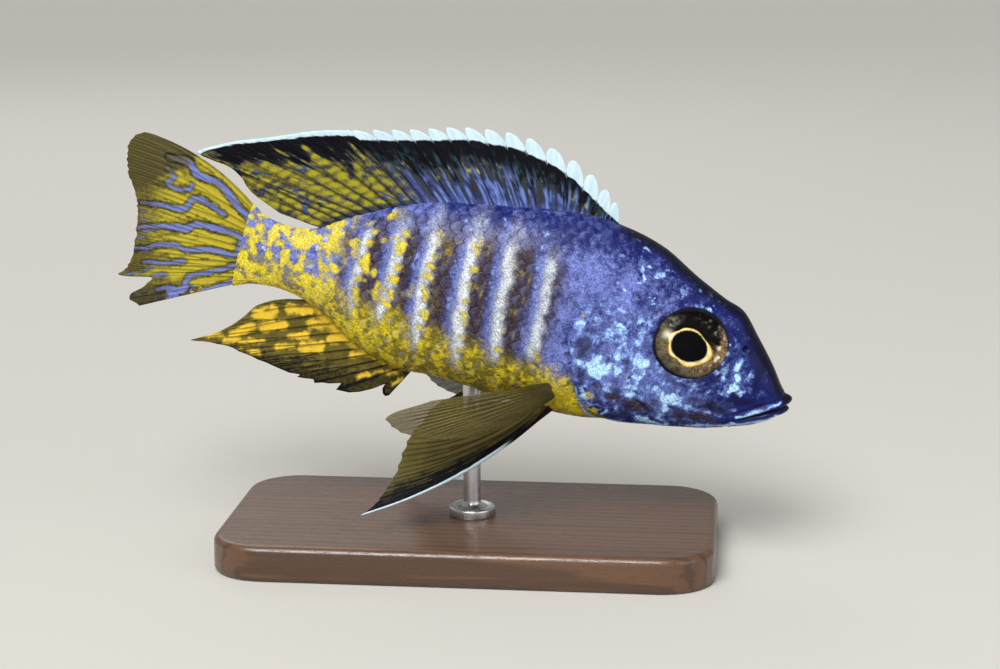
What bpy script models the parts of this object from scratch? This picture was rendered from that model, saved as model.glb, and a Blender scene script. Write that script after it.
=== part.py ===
"""Life-size still model of a male peacock cichlid, swimming nose down over a flat base, held by one rod.

The fish is shaped in its own straight frame, in millimetres: x is 0 at the snout and falls towards
the tail, y points to its left side and z towards its back. placed() then curves the tail stalk
sideways, pitches the fish nose down and sets it over the stand, in metres.
"""

import math

import bmesh
import bpy
import numpy as np

MM = 0.001
GAP = 0.3  # between pieces that touch

# How the fish hangs in the water
NOSE_DOWN = math.radians(15.3)
TAIL_TURN = math.radians(9.0)
TURN_STARTS = 45.0
TURN_ENDS = 95.0

# Stand
BASE_LENGTH = 84.0
BASE_WIDTH = 46.0
BASE_THICKNESS = 6.0
BASE_CORNER = 9.0
BASE_EDGE = 1.2
ROD_RADIUS = 1.5
ROD_FOOT_RADIUS = 4.0
ROD_FOOT_THICKNESS = 1.4
ROD_BEHIND_SNOUT = 52.0
BELLY_HEIGHT = 28.5

# The trunk at stations behind the snout: back, belly, half width, height of the widest place
STATIONS = np.array([
    [0.0, 0.5, -1.2, 1.2, -0.3],
    [1.5, 1.8, -3.2, 2.6, -0.6],
    [4.0, 4.9, -5.1, 3.6, -0.6],
    [8.0, 9.2, -6.9, 4.7, 0.0],
    [11.3, 12.5, -8.1, 5.4, 0.7],
    [15.0, 13.8, -9.3, 6.1, 1.2],
    [20.0, 15.9, -10.6, 6.9, 1.6],
    [27.0, 19.3, -11.9, 7.9, 2.0],
    [36.0, 21.1, -13.1, 8.4, 2.3],
    [46.0, 20.4, -13.3, 8.3, 2.4],
    [58.0, 17.9, -13.1, 7.3, 2.0],
    [66.0, 15.9, -13.7, 6.2, 1.4],
    [74.0, 12.4, -11.8, 4.9, 0.5],
    [80.0, 8.9, -8.6, 3.9, -0.4],
    [85.0, 5.6, -7.1, 3.1, -1.0],
    [90.0, 4.5, -6.9, 2.4, -1.2],
    [94.0, 4.9, -7.7, 1.8, -1.2],
    [97.0, 6.0, -8.8, 1.1, -1.3],
])
BACK_FULLNESS = 2.1
BELLY_FULLNESS = 2.4
BODY_END = 97.0
RING_SIDES = 36
ORBIT_SWELL = 0.5
ORBIT_SPREAD = 6.5

# Where the flesh is parted
NECK_CUT = [(33.5, 30.0), (33.5, 15.0), (32.0, 6.0), (31.5, -2.0), (30.5, -9.0), (30.0, -20.0)]
STALK_CUT = 84.9

# Mouth: the upper lip's edge runs from the snout back and down to the corner
MOUTH_TIP_Z = -0.2
MOUTH_CORNER = (9.9, -5.95)
MOUTH_OPENING = 0.55
JAW_ANGLE = [(13.6, -7.5), (15.6, -8.9), (17.0, -16.0)]
LIP_RADIUS = 0.85
LIP_CORNER_RADIUS = 0.5
LIP_SETBACK = 0.8
LIP_STATIONS = np.array([0.0, 0.05, 0.14, 0.26, 0.42, 0.6, 0.8, 1.0])

# Eye: a shallow dome that shows 6 mm of its 6.7 mm radius
EYE_PLACE = (18.8, 6.0)
EYE_DEPTH_CENTRE = 5.3
EYE_RADII = (6.7, 3.2, 6.1)
EYE_FORWARD = math.radians(10.0)
EYE_UP = math.radians(8.0)
NOSTRIL_PLACE = (9.6, 7.3)
NOSTRIL_RADIUS = 0.75

# Gill cover: its outline seen from the side, behind the snout and up
GILL_OUTLINE = [
    (29.4, 7.4), (28.2, 3.6), (27.0, -0.8), (25.6, -4.4), (24.4, -7.0), (26.2, -8.9), (29.6, -9.2),
    (32.6, -7.6), (35.2, -3.4), (37.2, 0.8), (38.0, 4.2), (36.6, 7.1), (33.2, 8.5),
]
GILL_INNER_Y = 3.2
GILL_RISE = 0.45

# Fins: half thickness of the web and of a ray at its root
WEB_HALF = 0.27
RAY_HALF = 0.55
MARGIN_HALF = 0.25

# Dorsal fin
SPINES = 15
SOFT_RAYS = 10
SPINE_ROOTS = (35.7, 67.4)
SOFT_ROOTS = (69.0, 84.1)
DORSAL_EDGE = [  # place in the row of rays, behind the snout, up
    (0.0, 35.9, 23.3), (1.6, 39.1, 25.9), (3.6, 45.6, 29.1), (5.6, 53.6, 30.6), (8.6, 64.0, 29.5),
    (11.6, 73.0, 26.6), (14.6, 82.3, 23.7), (16.5, 89.5, 21.4), (18.0, 97.0, 18.0),
    (19.5, 104.5, 14.6), (20.4, 109.0, 11.7), (21.4, 104.6, 11.4), (22.6, 100.4, 9.9),
    (23.5, 97.0, 7.5), (24.0, 92.0, 5.9),
]
LAPPET_RISE = 2.1
LAPPET_SHOULDER = 0.4
LAPPET_CUSP = 0.8

# Anal fin
ANAL_ROOTS = (62.6, 83.6)
ANAL_RAYS = 12
ANAL_EDGE = [
    (0.0, 65.3, -18.9), (1.0, 69.2, -20.1), (2.0, 73.1, -20.5), (3.0, 77.6, -20.8),
    (5.0, 86.0, -20.2), (7.0, 96.5, -19.2), (8.0, 101.8, -20.1), (8.7, 98.0, -17.0),
    (9.6, 93.5, -13.2), (11.0, 86.6, -8.4),
]
ANAL_NOTCHES = [(0.6, 2.6), (1.6, 1.9), (2.6, 1.3), (3.6, 0.8)]  # place, depth

# Tail fin
TAIL_RAYS = 17
TAIL_ROOT_HALF = 0.95
TAIL_EDGE = [
    (0.0, 111.0, -16.8), (0.8, 114.6, -16.2), (1.7, 112.4, -12.6), (2.4, 117.2, -13.0),
    (4.0, 116.2, -9.6), (8.0, 117.6, -2.4), (11.5, 119.8, 3.6), (14.0, 121.1, 8.4),
    (15.2, 120.6, 11.4), (16.0, 118.0, 12.4),
]
TAIL_FOLD = 2.2

# Paired fins, named for the right side, whose y is negative
PECTORAL_RAYS = 13
PECTORAL_ROOT_TOP = (39.2, -5.1)
PECTORAL_ROOT_END = (38.9, -9.9)
PECTORAL_EDGE = [
    (0.0, 56.4, -13.4), (1.5, 62.2, -17.2), (3.0, 61.2, -18.8), (5.0, 57.6, -19.6),
    (8.0, 51.6, -18.8), (10.5, 47.0, -17.0), (12.0, 43.4, -14.8),
]
PECTORAL_SPREAD = (math.radians(20.0), math.radians(31.0))
PELVIC_RAYS = 6
PELVIC_BRANCHES = 2
PELVIC_ROOT_FRONT = (38.6, 3.9)
PELVIC_ROOT_REAR = (42.2, 2.3)
PELVIC_EDGE = [
    (0.0, 62.6, -36.0), (0.45, 61.4, -34.5), (1.2, 60.4, -32.0), (2.2, 59.6, -28.6),
    (3.2, 59.5, -24.6), (4.2, 58.4, -20.4), (5.0, 54.2, -15.8),
]
PELVIC_SPREAD = math.radians(19.0)
PELVIC_BOW = 0.06


def clear_scene():
    for existing in list(bpy.data.objects):
        bpy.data.objects.remove(existing)


def smooth(at, knots, values):
    """A curve through the knots, without corners."""
    at, knots, values = (np.asarray(part, float) for part in (at, knots, values))
    slopes = np.gradient(values, knots)
    index = np.clip(np.searchsorted(knots, at) - 1, 0, len(knots) - 2)
    step = knots[index + 1] - knots[index]
    t = np.clip((at - knots[index]) / step, 0, 1)
    return (
        values[index] * (1 + 2 * t) * (1 - t) ** 2
        + slopes[index] * step * t * (1 - t) ** 2
        + values[index + 1] * t * t * (3 - 2 * t)
        + slopes[index + 1] * step * t * t * (t - 1)
    )


def back(behind):
    return smooth(behind, STATIONS[:, 0], STATIONS[:, 1])


def belly(behind):
    return smooth(behind, STATIONS[:, 0], STATIONS[:, 2])


def half_width(behind):
    return smooth(behind, STATIONS[:, 0], STATIONS[:, 3])


def widest_height(behind):
    return smooth(behind, STATIONS[:, 0], STATIONS[:, 4])


def orbit_swelling(behind, up):
    away = (behind - EYE_PLACE[0]) ** 2 + (up - EYE_PLACE[1]) ** 2
    return ORBIT_SWELL * np.exp(-away / ORBIT_SPREAD**2)


def flank(behind, up, grown=0.0):
    """Half the body's width at a place seen from the side."""
    behind, up = np.asarray(behind, float), np.asarray(up, float)
    middle = widest_height(behind)
    above = up >= middle
    reach = np.where(above, back(behind) - middle, middle - belly(behind)) + grown
    fullness = np.where(above, BACK_FULLNESS, BELLY_FULLNESS)
    share = np.clip(np.abs(up - middle) / reach, 0, 1)
    shape = np.sqrt(1 - share**fullness)
    return (half_width(behind) + grown + orbit_swelling(behind, up)) * shape


def bent(points):
    """The straight fish with its rear curved to its left, at an even rate."""
    radius = (TURN_ENDS - TURN_STARTS) / TAIL_TURN
    past = np.maximum(0.0, -points[:, 0] - TURN_STARTS)
    angle = np.minimum(past / radius, TAIL_TURN)
    beyond = np.maximum(0.0, past - (TURN_ENDS - TURN_STARTS))
    spine_x = -TURN_STARTS - radius * np.sin(angle) - beyond * math.cos(TAIL_TURN)
    spine_y = radius * (1 - np.cos(angle)) + beyond * math.sin(TAIL_TURN)
    turned_x = np.where(past > 0, spine_x, points[:, 0]) + points[:, 1] * np.sin(angle)
    return np.column_stack([turned_x, spine_y + points[:, 1] * np.cos(angle), points[:, 2]])


def placed(points):
    """Points of the straight fish, in millimetres, at their place over the stand in metres."""
    hold = np.array([[-ROD_BEHIND_SNOUT, 0.0, float(belly(ROD_BEHIND_SNOUT))]])
    away = bent(np.asarray(points, float)) - bent(hold)
    cos, sin = math.cos(NOSE_DOWN), math.sin(NOSE_DOWN)
    pitched_x = away[:, 0] * cos + away[:, 2] * sin
    pitched_z = -away[:, 0] * sin + away[:, 2] * cos
    return np.column_stack([pitched_x, away[:, 1], pitched_z + BELLY_HEIGHT]) * MM


def material(name, colour, roughness, metallic=0.0):
    made = bpy.data.materials.new(name)
    made.use_nodes = True
    shader = made.node_tree.nodes["Principled BSDF"]
    shader.inputs["Base Color"].default_value = (*colour, 1.0)
    shader.inputs["Roughness"].default_value = roughness
    shader.inputs["Metallic"].default_value = metallic
    made.diffuse_color = (*colour, 1.0)
    return made


def mesh_object(name, points, faces):
    mesh = bpy.data.meshes.new(name)
    mesh.from_pydata([tuple(point) for point in points], [], [tuple(face) for face in faces])
    mesh.validate()
    made = bpy.data.objects.new(name, mesh)
    bpy.context.scene.collection.objects.link(made)
    return made


def facing_out(made):
    """Faces turned to point out, for shapes made in either order."""
    edit = bmesh.new()
    edit.from_mesh(made.data)
    bmesh.ops.recalc_face_normals(edit, faces=edit.faces)
    edit.to_mesh(made.data)
    edit.free()
    return made


def loft(name, rings):
    """A closed tube through rings of equal count, capped at both ends."""
    count = len(rings[0])
    points = np.concatenate(rings)
    faces = []
    for row in range(len(rings) - 1):
        for side in range(count):
            following = (side + 1) % count
            start, end = row * count, (row + 1) * count
            faces.append((start + side, start + following, end + following, end + side))
    faces.append(tuple(range(count))[::-1])
    faces.append(tuple(range(len(points) - count, len(points))))
    return facing_out(mesh_object(name, points, faces))


def body_ring(behind, grown=0.0):
    """The trunk's outline in the plane this far behind the snout."""
    angle = np.arange(RING_SIDES) * math.tau / RING_SIDES
    middle = float(widest_height(behind))
    rise, drop = float(back(behind)) - middle + grown, middle - float(belly(behind)) + grown
    up = middle + np.sin(angle) * np.where(np.sin(angle) >= 0, rise, drop)
    side = np.sign(np.round(np.cos(angle), 9)) * flank(np.full(RING_SIDES, behind), up, grown)
    return np.column_stack([np.full(RING_SIDES, -behind), side, up])


def trunk(name, grown=0.0):
    """The whole body from snout to tail root, in closer steps at the snout."""
    snout = np.array([0.0, 0.7, 1.5, 2.6, 4.0, 5.6, 7.4, 9.3])
    rest = np.linspace(11.3, BODY_END, 36)
    return loft(name, [body_ring(behind, grown) for behind in np.concatenate([snout, rest])])


def prism(name, outline, low_y, high_y):
    """A side-view outline, as places behind the snout and up, drawn out sideways."""
    rings = [np.array([(-behind, y, up) for behind, up in outline]) for y in (low_y, high_y)]
    return loft(name, rings)


def ball(name, centre, radii, turn=(0.0, 0.0), segments=20, rows=12):
    """An ellipsoid whose second radius points sideways, turned forward and up."""
    forward, upward = turn
    rings = []
    for row in range(1, rows):
        polar = math.pi * row / rows
        angle = np.arange(segments) * math.tau / segments
        rings.append(np.column_stack([
            radii[0] * math.sin(polar) * np.cos(angle),
            np.full(segments, radii[1] * math.cos(polar)),
            radii[2] * math.sin(polar) * np.sin(angle),
        ]))
    points = np.concatenate(rings)
    tilt = np.array([
        [1, 0, 0],
        [0, math.cos(upward), -math.sin(upward)],
        [0, math.sin(upward), math.cos(upward)],
    ])
    swing = np.array([
        [math.cos(forward), math.sin(forward), 0],
        [-math.sin(forward), math.cos(forward), 0],
        [0, 0, 1],
    ])
    points = points @ (swing @ tilt).T + np.array(centre)
    return loft(name, np.split(points, rows - 1))


def combine(target, tools, operation):
    """Applies one Boolean with several tools, then removes them."""
    tray = bpy.data.collections.new("tools")
    bpy.context.scene.collection.children.link(tray)
    for tool in tools:
        bpy.context.scene.collection.objects.unlink(tool)
        tray.objects.link(tool)
    modifier = target.modifiers.new("combine", "BOOLEAN")
    modifier.operation = operation
    modifier.operand_type = "COLLECTION"
    modifier.collection = tray
    modifier.solver = "EXACT"
    bpy.context.view_layer.update()
    graph = bpy.context.evaluated_depsgraph_get()
    made = bpy.data.meshes.new_from_object(target.evaluated_get(graph))
    target.modifiers.clear()
    target.data = made
    for tool in list(tray.objects):
        bpy.data.objects.remove(tool)
    bpy.data.collections.remove(tray)
    return target


def copy_of(source, name):
    made = source.copy()
    made.data = source.data.copy()
    made.name = name
    bpy.context.scene.collection.objects.link(made)
    return made


def mouth_line(share):
    """Side-view place on the mouth's edge, from snout at 0 to corner at 1."""
    behind = MOUTH_CORNER[0] * share
    return behind, MOUTH_TIP_Z + (MOUTH_CORNER[1] - MOUTH_TIP_Z) * share


def lip(name, offset):
    """A rounded lip from corner to corner round the snout, above or below the mouth's edge."""
    sides = 8
    behind = MOUTH_CORNER[0] * LIP_STATIONS
    share = np.concatenate([LIP_STATIONS[:0:-1], LIP_STATIONS])
    _, up = mouth_line(LIP_STATIONS)
    up = up + offset * (1 - 0.35 * LIP_STATIONS)
    width = flank(behind + 0.3, up) - 0.1
    width[0] = 0.0
    behind = behind + LIP_SETBACK * (1 - LIP_STATIONS)
    right = np.column_stack([-behind, -width, up])[:0:-1]
    left = np.column_stack([-behind, width, up])
    path = np.concatenate([right, left])
    along = np.gradient(path, axis=0)
    outward = np.column_stack([along[:, 1], -along[:, 0], 0 * along[:, 0]])
    outward /= np.linalg.norm(outward, axis=1)[:, None]
    radius = LIP_RADIUS + (LIP_CORNER_RADIUS - LIP_RADIUS) * share
    angle = np.arange(sides) * math.tau / sides
    rings = [
        centre + size * np.cos(angle)[:, None] * out
        + size * np.sin(angle)[:, None] * np.array([0.0, 0.0, 1.0])
        for centre, size, out in zip(path, radius, outward)
    ]
    return loft(name, rings)


def flesh():
    """Head, trunk and tail stalk in one, with both lips grown on."""
    made = trunk("flesh")
    return combine(made, [lip("upper_lip", 0.62), lip("lower_lip", -0.72)], "UNION")


def jaw_outline(clear):
    """The lower jaw's side-view outline, drawn in by clear from the head."""
    edge = []
    for share in (-0.35, 0.0, 0.35, 0.7, 1.0):
        behind, up = mouth_line(share)
        opening = MOUTH_OPENING * (1 - max(share, 0.0)) + GAP * max(share, 0.0)
        edge.append((behind - clear * 0.3, up - opening * clear / GAP))
    rear = [(behind - clear, up - clear) for behind, up in JAW_ANGLE]
    return [*edge, *rear, (-6.0, -16.0), (-6.0, edge[0][1])]


def rounded(outline, grown=0.0, steps=4):
    """A closed smooth curve through an outline, moved outward by grown."""
    corner = np.array(outline)
    made = []
    count = len(corner)
    for index in range(count):
        before, start, end, after = (corner[(index + k) % count] for k in (-1, 0, 1, 2))
        for step in range(steps):
            t = step / steps
            made.append(0.5 * (
                2 * start + (end - before) * t
                + (2 * before - 5 * start + 4 * end - after) * t**2
                + (3 * start - before - 3 * end + after) * t**3
            ))
    made = np.array(made)
    along = np.roll(made, -1, axis=0) - np.roll(made, 1, axis=0)
    normal = np.column_stack([along[:, 1], -along[:, 0]])
    normal /= np.linalg.norm(normal, axis=1)[:, None]
    outward = np.sign((normal * (made - made.mean(axis=0))).sum())
    return made + outward * grown * normal


def eye_ball(name, side, grown=0.0):
    centre = (-EYE_PLACE[0], side * EYE_DEPTH_CENTRE, EYE_PLACE[1])
    radii = [radius + grown for radius in EYE_RADII]
    made = ball(name, centre, radii, (side * EYE_FORWARD, side * EYE_UP), 24, 12)
    return made


def nostril(side):
    behind, up = NOSTRIL_PLACE
    centre = (-behind, side * (float(flank(behind, up)) - 0.1), up)
    return ball("nostril", centre, [NOSTRIL_RADIUS] * 3, segments=10, rows=6)


def gill_pocket(side):
    far, near = side * 30.0, side * (GILL_INNER_Y - GAP)
    return prism("gill_pocket", rounded(GILL_OUTLINE, GAP), min(far, near), max(far, near))


def gill_cover(name, side):
    """The gill cover stands proud of the head, with its free edge over the shoulder."""
    made = trunk(name, GILL_RISE)
    far, near = side * 30.0, side * GILL_INNER_Y
    keep = prism("keep", rounded(GILL_OUTLINE), min(far, near), max(far, near))
    socket = eye_ball("socket", side, GAP)
    return combine(combine(made, [keep], "INTERSECT"), [socket], "DIFFERENCE")


def head(source):
    """The head in front of the neck cut, less mouth, eyes, nostrils and gill covers."""
    made = copy_of(source, "head")
    front = [(behind - GAP / 2, up) for behind, up in NECK_CUT]
    keep = prism("keep", [(-6.0, 30.0), *front, (-6.0, -20.0)], -30.0, 30.0)
    tools = [prism("mouth_cut", jaw_outline(0.0), -30.0, 30.0)]
    for side in (-1, 1):
        tools += [eye_ball("socket", side, GAP), nostril(side), gill_pocket(side)]
    return combine(combine(made, [keep], "INTERSECT"), tools, "DIFFERENCE")


def lower_jaw(source):
    made = copy_of(source, "lower_jaw")
    return combine(made, [prism("keep", jaw_outline(GAP), -30.0, 30.0)], "INTERSECT")


def torso(source):
    made = copy_of(source, "torso")
    rear = [(behind + GAP / 2, up) for behind, up in NECK_CUT]
    end = STALK_CUT - GAP / 2
    keep = prism("keep", [*rear, (end, -20.0), (end, 30.0)], -30.0, 30.0)
    pockets = [gill_pocket(side) for side in (-1, 1)]
    return combine(combine(made, [keep], "INTERSECT"), pockets, "DIFFERENCE")


def tail_stalk(source):
    made = copy_of(source, "tail_stalk")
    start = STALK_CUT + GAP / 2
    outline = [(start, 30.0), (start, -20.0), (BODY_END + 5, -20.0), (BODY_END + 5, 30.0)]
    return combine(made, [prism("keep", outline, -30.0, 30.0)], "INTERSECT")


def sheet_solid(name, middle, half_thickness):
    """A thin closed solid about a grid of points, split into triangles alike on both faces."""
    along_u = np.gradient(middle, axis=0)
    along_v = np.gradient(middle, axis=1)
    normal = np.cross(along_u, along_v)
    normal /= np.linalg.norm(normal, axis=2)[:, :, None]
    offset = normal * half_thickness[:, :, None]
    rows, columns = middle.shape[:2]
    points = np.concatenate([(middle + offset).reshape(-1, 3), (middle - offset).reshape(-1, 3)])
    other = rows * columns
    faces = []
    for row in range(rows - 1):
        for column in range(columns - 1):
            a = row * columns + column
            b, c, d = a + 1, a + columns + 1, a + columns
            faces += [(a, b, c), (a, c, d), (other + c, other + b, other + a)]
            faces.append((other + d, other + c, other + a))
    rim = [column for column in range(columns)]
    rim += [row * columns + columns - 1 for row in range(1, rows)]
    rim += [(rows - 1) * columns + column for column in range(columns - 2, -1, -1)]
    rim += [row * columns for row in range(rows - 2, 0, -1)]
    for start, end in zip(rim, rim[1:] + rim[:1]):
        faces += [(start, other + end, end), (start, other + start, other + end)]
    return facing_out(mesh_object(name, points, faces))


def fin(name, root, edge, crest, root_half, rows=7, sway=None, bow=0.0):
    """A fin whose columns run from root to edge. crest is 1 on a ray and 0 on the web."""
    share = np.linspace(0, 1, rows)[None, :, None]
    middle = root[:, None, :] * (1 - share) + edge[:, None, :] * share
    run = edge - root
    across = np.column_stack([-run[:, 2], np.zeros(len(run)), run[:, 0]])
    middle = middle + across[:, None, :] * bow * 4 * share * (1 - share)
    if sway is not None:
        middle = middle + sway(np.arange(len(root)) / (len(root) - 1), share)
    fade = np.linspace(0, 1, rows)[None, :]
    ray = crest[:, None] * (1 - 0.75 * fade)
    half = MARGIN_HALF + (WEB_HALF - MARGIN_HALF) * (1 - fade) + (RAY_HALF - WEB_HALF) * ray
    swollen = np.clip(1 - fade * 5, 0, 1)
    half = half + (root_half - RAY_HALF) * swollen
    return sheet_solid(name, middle, np.maximum(half, MARGIN_HALF))


def read_edge(table, place):
    table = np.array(table)
    return np.column_stack([
        -smooth(place, table[:, 0], table[:, 1]),
        np.zeros(len(place)),
        smooth(place, table[:, 0], table[:, 2]),
    ])


def dorsal_fin():
    """Fifteen spines, each with a lappet that rises behind its tip, then soft rays to a point."""
    place, crest, dip = [], [], []
    for spine in range(SPINES):
        place += [spine, spine + LAPPET_SHOULDER, spine + LAPPET_CUSP]
        crest += [1.0, 0.0, 0.0]
        dip += [1.0, 0.25, 0.0]
    for ray in range(SPINES, SPINES + SOFT_RAYS):
        place += [ray, ray + 0.5]
        crest += [1.0, 0.0]
        dip += [0.0, 0.12]
    place, crest, dip = (np.array(part[:-1]) for part in (place, crest, dip))
    last = SPINES + SOFT_RAYS - 1
    knots = [0, SPINES - 1, SPINES, last]
    behind = np.interp(place, knots, [*SPINE_ROOTS, *SOFT_ROOTS])
    root = np.column_stack([-behind, 0 * behind, back(behind) + GAP])
    edge = read_edge(DORSAL_EDGE, place)
    run = edge - root
    length = np.linalg.norm(run, axis=1)
    lappet = LAPPET_RISE * np.clip(place / 2 + 0.35, 0, 1)
    edge = root + run * (1 - dip * lappet / length)[:, None]

    def sway(along, share):
        wave = 0.5 * np.sin(along * 7.0)[:, None, None] * share**2
        return wave * np.array([0.0, 1.0, 0.0])

    return fin("dorsal_fin", root, edge, crest, 0.62, rows=6, sway=sway)


def anal_fin():
    """Three spines with free tips, then soft rays drawn out to a point."""
    place = np.arange(0, ANAL_RAYS - 1 + 0.01, 0.5)
    place = np.sort(np.concatenate([place, [notch for notch, _ in ANAL_NOTCHES]]))
    crest = np.where(np.abs(place - np.round(place)) < 0.01, 1.0, 0.0)
    behind = np.interp(place, [0, ANAL_RAYS - 1], ANAL_ROOTS)
    root = np.column_stack([-behind, 0 * behind, belly(behind) - GAP])
    edge = read_edge(ANAL_EDGE, place)
    run = edge - root
    length = np.linalg.norm(run, axis=1)
    for notch, depth in ANAL_NOTCHES:
        near = np.abs(place - notch) < 0.01
        edge[near] = (root + run * (1 - depth / length)[:, None])[near]

    def sway(along, share):
        wave = -0.7 * np.sin(along * 3.2)[:, None, None] * share**2
        return wave * np.array([0.0, 1.0, 0.0])

    return fin("anal_fin", root, edge, crest, 0.62, rows=7, sway=sway)


def tail_fin():
    """A nearly square tail whose lowest rays fold towards the fish's right."""
    place = np.arange(0, TAIL_RAYS - 1 + 0.01, 0.5)
    crest = np.where(np.abs(place - np.round(place)) < 0.01, 1.0, 0.0)
    low, high = float(belly(BODY_END)) + 0.2, float(back(BODY_END)) - 0.2
    up = np.interp(place, [0, TAIL_RAYS - 1], [low, high])
    root = np.column_stack([np.full(len(place), -BODY_END - GAP), 0 * place, up])
    edge = read_edge(TAIL_EDGE, place)

    def sway(along, share):
        fold = -TAIL_FOLD * np.exp(-((along / 0.13) ** 2))
        ripple = 0.5 * np.sin(along * 11.0 + 1.0)
        wave = (fold + ripple)[:, None, None] * share**1.6
        return wave * np.array([0.0, 1.0, 0.0])

    return fin("tail_fin", root, edge, crest, TAIL_ROOT_HALF, rows=8, sway=sway)


def pectoral_fin(name, side):
    """A clear, pointed fan set low behind the gill cover, held a little off the flank."""
    place = np.arange(0, PECTORAL_RAYS - 1 + 0.01, 0.5)
    crest = np.where(np.abs(place - np.round(place)) < 0.01, 1.0, 0.0)
    share = place / (PECTORAL_RAYS - 1)
    behind = PECTORAL_ROOT_TOP[0] + (PECTORAL_ROOT_END[0] - PECTORAL_ROOT_TOP[0]) * share
    up = PECTORAL_ROOT_TOP[1] + (PECTORAL_ROOT_END[1] - PECTORAL_ROOT_TOP[1]) * share
    out = flank(behind, up) + GAP + 0.35
    root = np.column_stack([-behind - 0.2, side * out, up])
    edge = read_edge(PECTORAL_EDGE, place)
    spread = PECTORAL_SPREAD[0] + (PECTORAL_SPREAD[1] - PECTORAL_SPREAD[0]) * share
    reach = np.linalg.norm((edge - root)[:, [0, 2]], axis=1)
    edge[:, 1] = side * (out + reach * np.sin(spread))

    def sway(along, share):
        cup = 1.6 * np.sin(np.pi * along)[:, None, None] * share * (1.2 - share)
        return side * cup * np.array([0.0, 1.0, 0.0])

    return fin(name, root, edge, crest, 0.6, rows=7, sway=sway)


def pelvic_fin(name, side):
    """One spine and five branched rays, lowered from the belly and drawn out along the spine."""
    place = np.arange(0, PELVIC_RAYS - 1 + 0.01, 0.5 / PELVIC_BRANCHES)
    rank = np.round(place * PELVIC_BRANCHES * 2).astype(int)
    crest = np.where(rank % 2 == 0, 1.0, 0.0)
    share = place / (PELVIC_RAYS - 1)
    behind = PELVIC_ROOT_FRONT[0] + (PELVIC_ROOT_REAR[0] - PELVIC_ROOT_FRONT[0]) * share
    out = PELVIC_ROOT_FRONT[1] + (PELVIC_ROOT_REAR[1] - PELVIC_ROOT_FRONT[1]) * share
    up = underside(behind, out) - GAP - 0.15
    root = np.column_stack([-behind, side * out, up])
    edge = read_edge(PELVIC_EDGE, place)
    reach = np.linalg.norm((edge - root)[:, [0, 2]], axis=1)
    edge[:, 1] = side * (out + reach * math.sin(PELVIC_SPREAD) * (1 - 0.35 * share))
    return fin(name, root, edge, crest, 0.6, rows=8, bow=PELVIC_BOW)


def underside(behind, out):
    """Height of the belly's surface this far out from the middle."""
    middle = widest_height(behind)
    share = np.clip(out / half_width(behind), 0, 0.999)
    return middle - (middle - belly(behind)) * (1 - share**2) ** (1 / BELLY_FULLNESS)


def stand_base():
    """A flat board with rounded corners and softened edges."""
    corners = []
    for turn in range(4):
        middle_x = (BASE_LENGTH / 2 - BASE_CORNER) * (1 if turn in (0, 3) else -1)
        middle_y = (BASE_WIDTH / 2 - BASE_CORNER) * (1 if turn in (0, 1) else -1)
        for step in range(7):
            angle = (turn + step / 6) * math.pi / 2
            corners.append((middle_x, middle_y, math.cos(angle), math.sin(angle)))
    rings = []
    for height, inset in (
        (0.0, BASE_EDGE * 0.5), (BASE_EDGE * 0.5, 0.0),
        (BASE_THICKNESS - BASE_EDGE, 0.0), (BASE_THICKNESS - BASE_EDGE * 0.3, BASE_EDGE * 0.3),
        (BASE_THICKNESS, BASE_EDGE),
    ):
        radius = BASE_CORNER - inset
        rings.append(np.array([(x + radius * c, y + radius * s, height) for x, y, c, s in corners]))
    return loft("stand_base", [ring * MM for ring in rings])


def stand_rod():
    """A round rod on a turned foot, cut to lie close under the belly."""
    foot = BASE_THICKNESS + GAP
    profile = [
        (foot, ROD_FOOT_RADIUS), (foot + ROD_FOOT_THICKNESS * 0.7, ROD_FOOT_RADIUS),
        (foot + ROD_FOOT_THICKNESS, ROD_FOOT_RADIUS - 0.5), (foot + ROD_FOOT_THICKNESS, 2.2),
        (foot + ROD_FOOT_THICKNESS + 0.9, ROD_RADIUS), (BELLY_HEIGHT + 4.0, ROD_RADIUS),
    ]
    angle = np.arange(20) * math.tau / 20
    rings = [
        np.column_stack([radius * np.cos(angle), radius * np.sin(angle), np.full(20, height)])
        for height, radius in profile
    ]
    made = loft("stand_rod", [ring * MM for ring in rings])
    clear = trunk("clear", GAP)
    move_to_place(clear)
    return combine(made, [clear], "DIFFERENCE")


def move_to_place(made):
    points = np.empty(len(made.data.vertices) * 3)
    made.data.vertices.foreach_get("co", points)
    made.data.vertices.foreach_set("co", placed(points.reshape(-1, 3)).ravel())
    made.data.update()


def finish(made, paint, smooth_angle=40.0):
    made.data.materials.clear()
    made.data.materials.append(paint)
    made.data.shade_smooth()
    made.data.set_sharp_from_angle(angle=math.radians(smooth_angle))


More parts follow.
